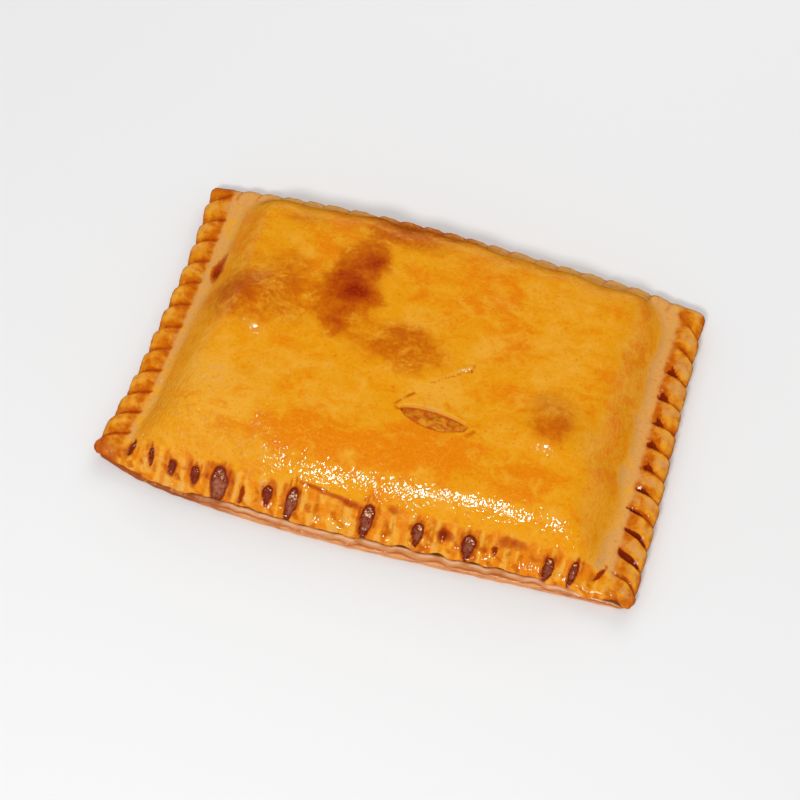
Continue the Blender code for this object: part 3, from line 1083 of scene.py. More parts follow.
@dataclass(frozen=True)
class CrustFinish:
    """Egg-washed crust: golden, mottled, browned and charred by the values stored in its mesh."""

    golden: Colour = colour(238, 156, 8)
    deep: Colour = colour(236, 132, 0)
    pale: Colour = colour(243, 170, 48)
    raw: Colour = colour(228, 166, 88)
    tan: Colour = colour(206, 104, 0)
    brown: Colour = colour(180, 68, 0)
    dark: Colour = colour(146, 34, 0)
    maroon: Colour = colour(124, 30, 0)
    ash: Colour = colour(176, 108, 76)
    # Colour of the painted glints
    glint: Colour = colour(252, 210, 168)
    craze: Colour = colour(246, 176, 50)
    gloss: Gloss = Gloss(0.5, 0.05, 0.8, 0.09)
    dough_bump: float = 0.0002
    glaze_bump: float = 0.0012

    def build(self) -> bpy.types.Material:
        """Build the material.

        Returns:
            The material.
        """
        graph = Graph("golden_crust_look")
        place = graph.place()
        broad = graph.noise(place, 34, 3, 0.55, 0.5)
        blotch = graph.noise(graph.scaled(place, (0.75, 1.15, 1.0)), 105, 5, 0.66, 0.5)
        fine = graph.noise(place, 480, 3, 0.6)

        drift = graph.math("MULTIPLY", graph.math("SUBTRACT", blotch, 0.5), 3.3)
        orange = graph.math("ADD", graph.value("orange"), graph.ramp(broad, 0.5, 0.72, 0.55))
        orange = graph.math("ADD", orange, drift)
        tint = graph.mix(graph.ramp(orange, 0.0, 1.0), self.golden, self.deep)
        cool = graph.math("ADD", graph.value("pale"), graph.ramp(broad, 0.5, 0.3, 0.4))
        cool = graph.math("SUBTRACT", cool, drift)
        tint = graph.mix(graph.ramp(cool, 0.0, 1.1), tint, self.pale)
        tint = graph.mix(graph.ramp(cool, 1.1, 1.9), tint, self.raw)

        cells = graph.node("ShaderNodeTexVoronoi", feature="DISTANCE_TO_EDGE")
        graph.feed(cells.inputs["Vector"], graph.warped(place, 60, 0.012))
        cells.inputs["Scale"].default_value = 95
        seen = graph.ramp(graph.noise(place, 60, 2, 0.5), 0.45, 0.68, 0.42)
        crazed = graph.math("MULTIPLY", graph.ramp(cells.outputs["Distance"], 0.028, 0.0), seen)
        tint = graph.mix(crazed, tint, self.craze)

        grain = graph.noise(graph.scaled(place, (1.0, 1.3, 1.0)), 620, 2, 0.6, 0.8)
        tint = graph.mix(graph.ramp(grain, 0.52, 0.78, 0.5), tint, self.craze)
        tint = graph.mix(graph.ramp(grain, 0.48, 0.22, 0.5), tint, self.tan)

        browning_and_shade = graph.value("brown")
        spread = graph.math("MULTIPLY", graph.math("SUBTRACT", fine, 0.5), 0.5)
        spread = graph.math("ADD", spread, graph.math("MULTIPLY", drift, 0.3))
        browning_and_shade = graph.math("ADD", browning_and_shade, graph.math("MULTIPLY", spread, graph.ramp(browning_and_shade, 0.05, 0.4)))
        tint = graph.mix(graph.ramp(browning_and_shade, 0.06, 0.45), tint, self.tan)
        tint = graph.mix(graph.ramp(browning_and_shade, 0.38, 0.78), tint, self.brown)
        tint = graph.mix(graph.ramp(browning_and_shade, 0.72, 1.1), tint, self.dark)

        burn = graph.math("ADD", graph.value("char"), graph.math("MULTIPLY", spread, 0.35))
        tint = graph.mix(graph.ramp(burn, 0.1, 0.5), tint, self.brown)
        tint = graph.mix(graph.ramp(burn, 0.35, 0.8), tint, self.maroon)
        ashen = graph.math("MULTIPLY", graph.value("ash"), graph.ramp(fine, 0.3, 0.55))
        tint = graph.mix(ashen, tint, self.ash)
        # Painted glints: light specks where the stored glint value and the grain are high
        specks = graph.ramp(graph.math("ADD", graph.value("glint"), grain), 1.05, 1.2)
        tint = graph.mix(specks, tint, self.glint)

        wrinkles = graph.noise(graph.scaled(place, (1.2, 0.75, 1.0)), 400, 0.6, 0.5, 0.6)
        rough = graph.math("ADD", 0.36, graph.math("MULTIPLY", graph.value("dry"), 2.0))
        rough = graph.math("ADD", rough, graph.ramp(broad, 0.4, 0.65, 0.12))
        dough = graph.bump(wrinkles, self.dough_bump, 1.0)
        graph.finish(tint, self.gloss, dough, graph.bump(wrinkles, self.glaze_bump, rough))
        return graph.material


@dataclass(frozen=True)
class DoughFinish:
    """The bottom sheet: paler dough with a glossy rolled edge and a painted highlight along it, an
    orange line, and painted shade under the crust's foot.
    """

    dough: Colour = colour(226, 152, 88)
    # Colour of the painted highlight on the ledge's rolled edge
    worn: Colour = colour(250, 204, 164)
    line: Colour = colour(182, 88, 24)
    scorched: Colour = colour(166, 78, 24)
    # Colour of the painted shade under the crust's foot
    seam: Colour = colour(112, 58, 30)
    gloss: Gloss = Gloss(0.42, 0.2, 0.4, 0.12)
    dough_bump: float = 0.0001
    glaze_bump: float = 0.0006

    def build(self) -> bpy.types.Material:
        """Build the material.

        Returns:
            The material.
        """
        graph = Graph("pale_dough_look")
        place = graph.place()
        patches = graph.noise(place, 120, 3, 0.6, 0.3)
        tint = graph.mix(graph.ramp(patches, 0.45, 0.7, 0.6), self.dough, self.line)
        tint = graph.mix(graph.value("line"), tint, self.line)
        tint = graph.mix(graph.value("worn"), tint, self.worn)
        mottled = graph.math("MULTIPLY", graph.value("brown"), graph.ramp(patches, 0.3, 0.6, 2.0))
        tint = graph.mix(mottled, tint, self.scorched)
        tint = graph.mix(graph.value("seam"), tint, self.seam)
        uneven = graph.noise(place, 420, 2, 0.6)
        dough = graph.bump(uneven, self.dough_bump, 1.0)
        graph.finish(tint, self.gloss, dough, graph.bump(uneven, self.glaze_bump, 1.0))
        return graph.material


@dataclass(frozen=True)
class FillingFinish:
    """Oily filling, orange in the hollows and golden on top."""

    golden: Colour = colour(236, 156, 28)
    orange: Colour = colour(206, 92, 0)
    gloss: Gloss = Gloss(0.3, 0.2, 0.9, 0.12)
    lump_bump: float = 0.0004
    oil_bump: float = 0.0016

    def build(self) -> bpy.types.Material:
        """Build the material.

        Returns:
            The material.
        """
        graph = Graph("filling_look")
        place = graph.place()
        lumps = graph.noise(place, 260, 3, 0.6, 0.6)
        tint = graph.mix(graph.ramp(lumps, 0.35, 0.65), self.orange, self.golden)
        lumpy = graph.bump(lumps, self.lump_bump, 0.5)
        graph.finish(tint, self.gloss, lumpy, graph.bump(lumps, self.oil_bump, 1.0))
        return graph.material


@dataclass(frozen=True)
class Layer:
    """A layer lofted from rings round the rim, capped by a grid."""

    form: Form = Form()
    name: str = ""
    node: str = ""
    slot: str = ""
    cap_easing: int = 60

    def stations(self, steps: int) -> list[tuple[int, Array]]:
        """Even places round the rim, as each side's index and its distances u.

        Args:
            steps: How many for each pinch of the front.

        Returns:
            For each side its index and its places.
        """
        found = []
        for index, side in enumerate(self.form.sides):
            corner = self.form.corner(side)
            found.append((index, np.linspace(-corner, corner, side.lobes * steps, endpoint=False)))
        return found

    def mesh(
        self,
        skins: list[Skin],
        height: Callable[[Array, Array], Array],
        values: Callable[[Array, Array], dict[str, Array]],
    ) -> bpy.types.Mesh:
        """Make a closed-topped mesh of skins, each of as many or half as many places as the last.

        Args:
            skins: Bands of rings, from the outer edge of the underside inwards.
            height: Function of plan positions that gives the cap's height.
            values: Function of plan positions that gives the cap's stored values.

        Returns:
            The mesh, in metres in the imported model's frame.
        """
        points, faces, stored = [], [], {name: [] for name in skins[0].values}
        count, last = 0, None
        for skin in skins:
            rings, places = skin.x.shape
            index = count + np.arange(rings * places).reshape(rings, places)
            points.append(skin.points().reshape(-1, 3))
            for name, kept in stored.items():
                kept.append(skin.values[name].reshape(-1))
            if last is not None:
                faces += self._joined(last, index[0])
            after = np.roll(index, -1, axis=1)
            faces += quads(index[:-1], after[:-1], after[1:], index[1:])
            last = index[-1]
            count += rings * places
        border = np.concatenate(points)[last]
        cap, grid = self._cap(border, last, count)
        x, y = cap[:, 0], cap[:, 1]
        points.append(np.stack((x, y, height(x, y)), -1))
        found = values(x, y)
        for name, kept in stored.items():
            kept.append(found[name])
        faces += quads(grid[:-1, :-1], grid[1:, :-1], grid[1:, 1:], grid[:-1, 1:])
        placed = np.concatenate(points)
        placed[:, :2] -= PLAN_MIDDLE
        data = bpy.data.meshes.new(self.name)
        data.from_pydata((placed * MM).tolist(), [], faces)
        for name, kept in stored.items():
            layer = data.attributes.new(name, "FLOAT", "POINT")
            layer.data.foreach_set("value", np.concatenate(kept).astype(np.float32))
        data.shade_smooth()
        return data

    @staticmethod
    def _joined(low: Array, high: Array) -> list[list[int]]:
        """Faces between two rings.

        Args:
            low: The lower ring's indices.
            high: The upper ring's indices, as many or half as many.

        Returns:
            The faces' corners.
        """
        if len(low) == len(high):
            return quads(low, np.roll(low, -1), np.roll(high, -1), high)
        faces = []
        for i, top in enumerate(high):
            first, middle, last = low[2 * i], low[2 * i + 1], low[(2 * i + 2) % len(low)]
            following = high[(i + 1) % len(high)]
            faces += [[first, middle, top], [middle, following, top], [middle, last, following]]
        return [[int(i) for i in face] for face in faces]

    def _cap(self, border: Array, last: Array, count: int) -> tuple[Array, Array]:
        """Plan positions inside a border, by transfinite interpolation.

        Args:
            border: The border's points.
            last: Their indices.
            count: How many points come before the cap's.

        Returns:
            The new plan positions, and the grid of all indices.
        """
        long_lobes, short_lobes = self.form.sides[0].lobes, self.form.sides[1].lobes
        wide = round(len(last) * long_lobes / (long_lobes + short_lobes) / 2)
        deep = len(last) // 2 - wide
        edge = border[:, :2]
        place = np.zeros((wide + 1, deep + 1, 2))
        grid = np.zeros((wide + 1, deep + 1), int)
        steps_i, steps_j = np.arange(wide + 1), np.arange(deep + 1)
        for i, j, at in (
            (steps_i, 0, steps_i),
            (steps_i, deep, 2 * wide + deep - steps_i),
            (wide, steps_j, wide + steps_j),
            (0, steps_j, -steps_j),
        ):
            place[i, j] = edge[at]
            grid[i, j] = last[at]
        s = (steps_i / wide)[:, None, None]
        t = (steps_j / deep)[None, :, None]
        inner = (1 - t) * place[:, :1] + t * place[:, -1:] + (1 - s) * place[:1] + s * place[-1:]
        inner -= (1 - t) * ((1 - s) * place[0, 0] + s * place[-1, 0])
        inner -= t * ((1 - s) * place[0, -1] + s * place[-1, -1])
        for _ in range(self.cap_easing):
            beside = inner[:-2, 1:-1] + inner[2:, 1:-1]
            inner[1:-1, 1:-1] = (beside + inner[1:-1, :-2] + inner[1:-1, 2:]) / 4
        fresh = np.arange((wide - 1) * (deep - 1)).reshape(wide - 1, deep - 1)
        grid[1:-1, 1:-1] = count + fresh
        return inner[1:-1, 1:-1].reshape(-1, 2), grid

    def place(self, data: bpy.types.Mesh, finish: bpy.types.Material) -> bpy.types.Object:
        """Put the layer in the scene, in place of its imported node.

        Args:
            data: The layer's mesh.
            finish: Its material.

        Returns:
            The piece.
        """
        piece = bpy.data.objects.new(self.name, data)
        bpy.context.scene.collection.objects.link(piece)
        data.materials.append(finish)
        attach(piece, "root")
        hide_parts(self.node)
        log.info("%s: %d faces", self.name, len(data.polygons))
        return piece


@dataclass(frozen=True)
class FoldLook:
    """How a side's folds look: creases, browning, the place of a painted highlight band, and
    paleness.
    """

    crease: float
    brown: float
    highlight_band_at: float
    pale: float
    pale_throughout: bool = False


# For the right, back and left sides
FOLD_LOOKS = (
    FoldLook(0.38, 1.0, 0.55, 1.0),
    FoldLook(0.38, 0.35, 0.0, 0.9, True),
    FoldLook(0.50, 1.0, 0.38, 0.5),
)


@dataclass(frozen=True)
class Crust(Layer):
    """The top crust, with its folds, pinch marks and steam cut.

    Steps, the places for each pinch, is even, because the wall has half as many. The dry corner
    is where the glaze is dull. Charred_grooves are places of the right side and how charred.
    """

    name: str = "crust"
    node: str = "pastry_lid"
    slot: str = "golden_crust"
    vent: Vent = Vent()
    steps: int = 16
    crimp_rings: int = 29
    wall_rings: int = 18
    wall_inset: float = 52.0
    warp: float = 2.6
    fine_warp: float = 1.2
    dry_corner: tuple[float, float] = (-44.0, -36.0)
    dry_fade: tuple[float, float] = (18.0, 8.0)
    charred_grooves: Stations = ((-47.0, 0.35), (-61.0, 1.0), (-73.5, 1.0), (-86.0, 0.4))
    refinements: int = 2
    rim_height: float = 20.0
    merging: float = 0.08
    pale_lip_depth: float = 1.8

    def build(self, finish: CrustFinish) -> bpy.types.Object:
        """Build and dress the crust.

        Args:
            finish: Its look.

        Returns:
            The piece.
        """
        data = self.mesh([self.crimp_skin(), self.wall_skin()], self.cap_height, self.cap_values)
        self.open_vent(data)
        return self.place(data, finish.build())

    def cap_height(self, x: Array, y: Array) -> Array:
        """Height of the crust with the lift beside its cuts."""
        return self.form.top(x, y) + self.vent.relief(x, y)

    def cap_values(self, x: Array, y: Array) -> dict[str, Array]:
        """Values stored in the crust.

        Args:
            x: Plan positions along X.
            y: Plan positions along Y.

        Returns:
            Browning with painted shade in places, orange, paleness, char, ash, dryness and painted
            glints, by name.
        """
        warp_x, warp_y = (
            self.warp * wavy(x, y, 24, seed) + self.fine_warp * wavy(x, y, 7, seed + 2)
            for seed in (11, 12)
        )
        values = {kind.value: np.zeros(np.shape(x)) for kind in StainKind}
        for stain in STAINS:
            values[stain.kind.value] += stain.share(x, y, warp_x, warp_y)
        for mark in CUT_MARKS:
            values["brown"] += mark.strength * mark.nearness(x, y)
        # The torn ridge and the flap's edge are pale dough, with painted highlights along them
        values["pale"] += 1.3 * self.vent.ridge(x, y) + 1.0 * self.vent.lip(x, y)
        values["glint"] = 0.62 * self.vent.ridge(x, y) + 0.30 * self.vent.lip(x, y)
        # Browning and painted shade along the cut's lower edge
        values["brown"] += 0.3 * self.vent.rim(x, y)
        values["char"] = np.zeros(np.shape(x))
        values["ash"] = np.zeros(np.shape(x))
        dry_x, dry_y = (
            smooth((start - at) / fade)
            for start, at, fade in zip(self.dry_corner, (x, y), self.dry_fade)
        )
        values["dry"] = dry_x * dry_y

        insets = [inset for inset, _ in self.form.insets_at(x, y)]
        ends = np.minimum(insets[1], insets[3])
        lift = 10.0 - 1.9 * smooth(-(y + 5.0) / 60.0) * (x < 0) + 0.8 * wavy(x, y, 16, 15)
        hollow = 1 - smooth((self.form.top(x, y) - lift + 1.0) / 8.5)
        hollow = hollow * smooth((insets[0] - 9.0) / 6.0)
        values["pale"] += 1.9 * hollow * smooth((ends - 11.5) / 5.0)
        back_edge = smooth((13.5 + 2.0 * wavy(x, 0 * x, 18, 16) - insets[2]) / 6.0)
        back_edge = back_edge * smooth((ends - 12.5) / 3.0)
        values["pale"] += back_edge * (0.1 + 1.1 * smooth((-38.0 - x) / 20.0))
        values["brown"] += 0.2 * back_edge * bell((x + 18) / 42.0)
        values["orange"] *= 1 - np.maximum(hollow, back_edge)
        return values

    def crimp_skin(self) -> Skin:
        """The rim: folds on three sides, and a pinched wall at the front.

        Returns:
            The skin, with its stored values.
        """
        ring = np.linspace(0, 6, self.crimp_rings)[:, None]
        columns = []
        for index, u in self.stations(self.steps):
            side, u = self.form.sides[index], u[None]
            insets = [
                self.form.blended(index, u, lambda s, k=k: s.crimp_insets[k])
                for k in range(len(side.crimp_insets))
            ]
            inset = self.through(insets, ring)
            if index == 0:
                inset = inset + self.form.foot_wave(u) * bell(ring / 2.2)
            x, y = self.form.plan_point(side, u, inset)
            edge = [
                self.form.blended(index, u, lambda s, k=k: s.edge_heights[k])
                for k in range(len(side.edge_heights))
            ]
            third = self.form.top(*self.form.plan_point(side, u, insets[3]))
            rolled = self.through([*edge, third], np.minimum(ring, 3.0))
            z = np.where(ring < 3, rolled, self.form.top(x, y))
            columns.append({"x": x, "y": y, "z": z})
        joined = side_by_side(columns)
        skin = Skin(**joined, values=self.cap_values(joined["x"], joined["y"]))
        skin.push(self.relief(skin.x, skin.y, skin.values))
        # Painted shade: darker along the crust's lowest edge, in the crease where it meets the
        # bottom sheet
        skin.values["char"] += 0.22 * smooth((0.85 - ring) / 0.4)
        return skin

    def relief(self, x: Array, y: Array, values: dict[str, Array]) -> Array:
        """Fold and pinch the rim.

        Args:
            x: Plan positions along X.
            y: Plan positions along Y.
            values: Stored values there, which the folds and pinches change.

        Returns:
            How far each point is pushed out along the normal.
        """
        found = zip(self.form.sides, self.form.insets_at(x, y))
        placed = [(inset, place * side.half) for side, (inset, place) in found]
        ends = np.minimum(placed[1][0], placed[3][0])
        between = smooth((ends - 14.0) / 3.0)
        push = np.zeros(x.shape)
        for index, (inset, u) in enumerate(placed):
            side = self.form.sides[index]
            share_of = between if index in (0, 2) else np.ones(x.shape)
            fold, share, distance = side.into_folds(u, inset)
            low = side.fold_depth(share)
            deep = along(side.deep, np.maximum(inset, 0.0)) * share_of
            inside = deep * (inset < side.inner)
            if index == 0:
                push += self.pinches(u, inset, between, values)
                push -= 0.5 * low * inside
                continue
            push -= low * inside
            look = FOLD_LOOKS[index - 1]
            vigour = 0.75 + 0.25 * wavy(7.0 * fold, 0 * x, 9, 50 + index)
            on_fold = smooth((side.inner - inset) / 4.0) * share_of
            crease = bell(distance / 1.1) * on_fold * smooth((inset + 1.0) / 3.0)
            if index == 1:
                crease = crease * smooth((12.0 - inset) / 3.0)
            mottled = 0.19 + 0.08 * wavy(x, y, 6, 60 + index)
            # Darker along the grooves and deeper into them: partly browning, partly painted shade
            # in the grooves
            browning_and_shade = mottled + crease * vigour * look.crease
            browning_and_shade = browning_and_shade + 0.20 * low**2 + 0.12 * smooth((3.0 - inset) / 3.0)
            browning_and_shade = browning_and_shade + 0.1 * bell((inset - 12.5) / 3.0)
            values["brown"] += browning_and_shade * on_fold * look.brown
            # Paler, mostly towards each fold's crest: partly paler dough, partly painted highlight;
            # and a painted highlight band across each fold
            painted_highlight_band = bell((share - look.highlight_band_at) / 0.2) * bell((inset - 6.0) / 5.0)
            paler = look.pale + 0.9 * painted_highlight_band
            values["pale"] += on_fold * paler * (1.0 if look.pale_throughout else 1 - low)
            push += 0.18 * wavy(u, inset * 2.0, 4.5, 30 + index) * on_fold
        return push + self.nicks(*placed[1], values)

    def nicks(self, inset: Array, u: Array, values: dict[str, Array]) -> Array:
        """Sink the charred nicks into the right folds.

        Args:
            inset: Insets from the right side.
            u: Places along it.
            values: Stored values, which the nicks change.

        Returns:
            How far each point is pushed out along the normal.
        """
        side = self.form.sides[1]
        outer = u - along(side.slant, u / side.half) * np.clip(inset, 0, side.inner)
        push = np.zeros(u.shape)
        for nick in RIGHT_NICKS:
            far = nick.nearness(outer - nick.u, inset)
            push -= nick.depth * bell(far**2)
            values["char"] += (0.85 + 0.15 * wavy(u, inset, 2.0, 27)) * smooth((1.1 - far) / 0.3)
            above = outer - nick.u - nick.high + 0.6
            beside = np.hypot(above / 3.4, (inset - nick.inset - 1.6) / 3.0)
            values["brown"] += 0.22 * bell(beside)
            # A painted glint over that browned patch
            values["glint"] += 0.5 * bell(beside * 0.9)
        for u_low, strength in self.charred_grooves:
            off = outer - u_low - 1.1
            on = smooth((inset - 0.8) / 2.0) * smooth((16.5 - inset) / 2.0)
            wide = 1.2 + 0.9 * bell((inset - 9.0) / 5.0)
            push -= 0.9 * strength * bell(off / 1.6) * on
            values["char"] += 0.95 * strength * smooth((wide - np.abs(off)) / 0.8) * on
        return push

    def pinches(self, u: Array, inset: Array, between: Array, values: dict[str, Array]) -> Array:
        """Press the pinch marks into the front wall.

        Args:
            u: Places along the front.
            inset: Their insets.
            between: How far they are from the ropes at the ends, from 0 to 1.
            values: Stored values, which the marks change.

        Returns:
            How far each point is pushed out along the normal.
        """
        on_wall = smooth((13.5 + 1.5 * wavy(u, 0 * u, 9, 22) - inset) / 3.0)
        pleats = wavy(u + 0.6 * wavy(u, inset, 9.0, 24), inset * 0.2, 4.2, 21)
        push = 0.75 * pleats * on_wall * smooth(inset / 3) * between
        smudge = smooth(wavy(u, inset * 1.4, 7.0, 23) * 1.6 - 0.35) * smooth((8.5 - inset) / 3.0)
        # Painted light and shade over the pleats: paler on their crests, browner in their troughs
        hollows = smooth(-0.9 * pleats)
        ridges = smooth(pleats * 1.6 - 0.1)
        values["brown"] += (0.30 * smudge + 0.19 * hollows + 0.08) * on_wall * between
        paler = (0.15 + 1.2 * ridges - 0.5 * smudge) * on_wall * between
        values["pale"] = np.maximum(values["pale"], paler)
        values["orange"] = values["orange"] * (1 - on_wall) + 0.9 * on_wall
        for pit in FRONT_PITS:
            far = pit.nearness(u, inset)
            pressed = pit.kind.depth * bell(far**1.6) * smooth((inset + 0.6) / 2.4)
            raised = 0.35 * pit.kind.char * bell((far - 1.35) / 0.3)
            push = push - pressed * (1 + 0.3 * wavy(u, inset, 2.0, 28)) + raised
            values["char"] += pit.kind.char * smooth((1.12 - far) / 0.28)
            above = smooth((inset - pit.inset) / 2.0)
            values["ash"] += pit.kind.ash * smooth((0.95 - far) / 0.5) * (1.15 - 0.8 * above)
            # Painted glints in the upper part of each pit
            values["glint"] += 0.6 * pit.kind.char * above * smooth((1.0 - far) / 0.3)
            ragged = 0.3 + above * np.clip(0.3 + 0.7 * wavy(u, 0.4 * inset, 2.4, 29), 0, 1)
            values["brown"] += 0.55 * ragged * pit.kind.char * bell((far - 1.05) / 0.5)
        return push

    @staticmethod
    def through(stops: list[Array], ring: Array) -> Array:
        """A smooth run through values at whole rings.

        Args:
            stops: The value at rings 0, 1, 2 and so on, each an array of places.
            ring: The rings to read.

        Returns:
            The value at each ring and place.
        """
        table = np.concatenate([np.broadcast_to(stop, stops[-1].shape) for stop in stops])
        slopes = np.gradient(table, axis=0)
        i = np.clip(np.floor(ring[:, 0]).astype(int), 0, len(stops) - 2)
        f = np.clip(ring - i[:, None], 0, 1)
        return smooth_run(f, table[i], table[i + 1], slopes[i], slopes[i + 1])

    def wall_skin(self) -> Skin:
        """The dome's wall, with half as many places as the crimps.

        Returns:
            The skin, with its stored values.
        """
        insets = np.linspace(0, 1, self.wall_rings + 1)[1:, None]
        columns = []
        for index, u in self.stations(self.steps):
            u = u[None, ::2]
            side = self.form.sides[index]
            start = self.form.blended(index, u, lambda s: s.crimp_insets[-1])
            x, y = self.form.plan_point(side, u, start + (self.wall_inset - start) * insets)
            columns.append((x, y))
        x, y = (np.concatenate(part, axis=1) for part in zip(*columns))
        values = self.cap_values(x, y)
        return Skin(x, y, self.cap_height(x, y) + self.relief(x, y, values), values)

    def open_vent(self, data: bpy.types.Mesh) -> None:
        """Refine the crust beside its cuts, and open the lens with a lip.

        Args:
            data: The crust's mesh, which it changes.
        """
        mesh = bmesh.new()
        mesh.from_mesh(data)
        for _ in range(self.refinements):
            near = self.near_cuts(mesh)
            edges = [edge for edge in mesh.edges if all(near[vert.index] for vert in edge.verts)]
            bmesh.ops.subdivide_edges(mesh, edges=edges, cuts=1, use_grid_fill=True)
        near = self.near_cuts(mesh)
        moved = [vert for vert in mesh.verts if near[vert.index]]
        x, y = self.plan(moved)
        self.lay(moved, x, y, self.cap_height(x, y))
        for name, found in self.cap_values(x, y).items():
            stored = mesh.verts.layers.float[name]
            for vert, value in zip(moved, found):
                vert[stored] = value

        opened = [face for face in mesh.faces if near[face.verts[0].index]]
        x, y = self.plan(opened)
        inside = self.vent.inside(x, y)
        gone = [face for face, within in zip(opened, inside) if within]
        bmesh.ops.delete(mesh, geom=gone, context="FACES")
        # In a fixed order, so that the merge below gives the same mesh on every run
        rim = list(dict.fromkeys(vert for edge in self.lens_edges(mesh) for vert in edge.verts))
        x, y = self.vent.onto_edge(*self.plan(rim))
        self.lay(rim, x, y, self.cap_height(x, y))
        bmesh.ops.remove_doubles(mesh, verts=rim, dist=self.merging * MM)
        lip = self.lens_edges(mesh)
        for edge in lip:
            edge.smooth = False

        brown, pale = (mesh.verts.layers.float[name] for name in ("brown", "pale"))
        last_depth = 0.0
        for depth in self.vent.lip_depths:
            made = bmesh.ops.extrude_edge_only(mesh, edges=lip)["geom"]
            lip = [item for item in made if isinstance(item, bmesh.types.BMEdge)]
            rim = [item for item in made if isinstance(item, bmesh.types.BMVert)]
            x, y = self.plan(rim)
            upper = self.vent.lens_place(x, y)[1] > 0
            lean = self.vent.lip_lean * (depth - last_depth) / self.vent.lip_depths[-1]
            self.lay(rim, x, y - lean * upper, self.cap_height(x, y) - depth)
            # The upper lip's cut face is pale dough; below it, and on the lower lip's wall, brown
            # is painted shade inside the cut
            for vert, above in zip(rim, upper):
                paler = above and depth < self.pale_lip_depth
                vert[brown], vert[pale] = (0.0, 1.3) if paler else (0.45, 0.3)
            last_depth = depth
        mesh.to_mesh(data)
        mesh.free()

    def lens_edges(self, mesh: bmesh.types.BMesh) -> list[bmesh.types.BMEdge]:
        """The open edges round the lens, which lie above the rim."""
        low = self.rim_height * MM
        return [edge for edge in mesh.edges if edge.is_boundary and edge.verts[0].co.z > low]

    def near_cuts(self, mesh: bmesh.types.BMesh) -> Array:
        """Which vertices of the open crust are beside a cut.

        Args:
            mesh: The crust.

        Returns:
            For each vertex whether it is.
        """
        mesh.verts.ensure_lookup_table()
        mesh.verts.index_update()
        return self.vent.near(*self.plan(mesh.verts))

    @staticmethod
    def plan(items: Iterable[bmesh.types.BMVert | bmesh.types.BMFace]) -> tuple[Array, Array]:
        """Positions in the plan's own frame.

        Args:
            items: Vertices, or faces, whose middles are used.

        Returns:
            Their positions along X and Y.
        """
        places = [
            item.co if isinstance(item, bmesh.types.BMVert) else item.calc_center_median()
            for item in items
        ]
        x, y = np.array([place.to_2d() for place in places]).T / MM
        return x + PLAN_MIDDLE[0], y + PLAN_MIDDLE[1]

    @staticmethod
    def lay(verts: list[bmesh.types.BMVert], x: Array, y: Array, z: Array) -> None:
        """Move vertices to plan positions and heights.

        Args:
            verts: The vertices.
            x: Plan positions along X.
            y: Plan positions along Y.
            z: Heights.
        """
        places = np.stack((x - PLAN_MIDDLE[0], y - PLAN_MIDDLE[1], z), -1) * MM
        for vert, place in zip(verts, places):
            vert.co = place


@dataclass(frozen=True)
class BottomSheet(Layer):
    """The bottom sheet, which shows as a ledge below the front crimps.

    Ledge is its width along the front, and section its edge as insets and heights.
    Crease_shade_share is how closely the painted shade line under the crust's foot follows that
    foot's waves.
    """

    name: str = "bottom_sheet"
    node: str = "pastry_base"
    slot: str = "pale_dough"
    ledge: Stations = (
        (-1, 0.0), (-0.78, 4.0), (-0.5, 5.4), (-0.1, 5.9), (0.3, 6.8), (0.7, 4.9), (1, 0.5),
    )
    section: Stations = (
        (2.2, 0.0), (0.4, 0.9), (0.0, 2.0), (0.5, 2.8),
        (0.1, 3.6), (0.7, 4.5), (2.4, 5.0), (5.0, 5.0),
    )
    steps: int = 12
    rings: int = 36
    inset: float = 1.5
    unevenness: float = 0.25
    crease_shade_share: float = 0.72

    def build(self, finish: DoughFinish) -> bpy.types.Object:
        """Build and dress the sheet.

        Args:
            finish: Its look.

        Returns:
            The piece.
        """
        ring = np.linspace(0, len(self.section) - 1, self.rings)[:, None]
        inset, height = (along(tuple(enumerate(part)), ring) for part in zip(*self.section))
        columns = []
        for index, u in self.stations(self.steps):
            side = self.form.sides[index]
            place = u[None] / self.form.corner(side)
            out = np.full(place.shape, self.inset)
            if index == 0:
                out = out - along(self.ledge, place) - self.inset * (1 - np.abs(place) ** 8)
            uneven = self.unevenness * wavy(u[None], ring * 1.5, 12, 41 + index)
            x, y = self.form.plan_point(side, u[None], inset + out + uneven)
            brown = 0.8 * smooth((-u[None] - 55) / 60) * (index == 0) + 0 * x
            start = -1.5 + 2.9 * np.abs(place) ** 5
            # Painted shade: a dark line along the sheet where the crust's foot overhangs it
            behind = inset + out - start - self.crease_shade_share * self.form.foot_wave(u[None])
            seam = 0.9 * smooth(behind / 0.3) * (index == 0) + 0 * x
            middle = behind + 0.55 * along(self.ledge, place)
            middle = middle + 0.3 * wavy(u[None], 0 * ring, 15.0, 44)
            line = 0.9 * bell(middle / 0.55) * (height > 3.5) * (index == 0)
            line = line + bell((height - 2.9) / 0.7) * (index != 0)
            # A painted highlight along the ledge's rolled top just below the crust's foot, in
            # patches
            glossy = smooth(0.6 + wavy(u[None], 0 * x, 9, 43)) * smooth((u[None] + 120) / 50)
            worn = 0.95 * bell((behind + 1.0) / 0.8) * (height > 4.6) * glossy * (index == 0)
            values = {"line": line, "brown": brown, "seam": seam, "worn": worn}
            columns.append({"x": x, "y": y, "z": height + 0 * x, **values})
        joined = side_by_side(columns)
        skin = Skin(joined.pop("x"), joined.pop("y"), joined.pop("z"), joined)
        # The sheet's top under the crust is painted dark as shade
        level = {"line": 0.0, "brown": 0.0, "seam": 1.0, "worn": 0.0}
        data = self.mesh(
            [skin],
            lambda x, y: np.full(np.shape(x), self.form.sheet),
            lambda x, y: {name: np.full(np.shape(x), value) for name, value in level.items()},
        )
        return self.place(data, finish.build())


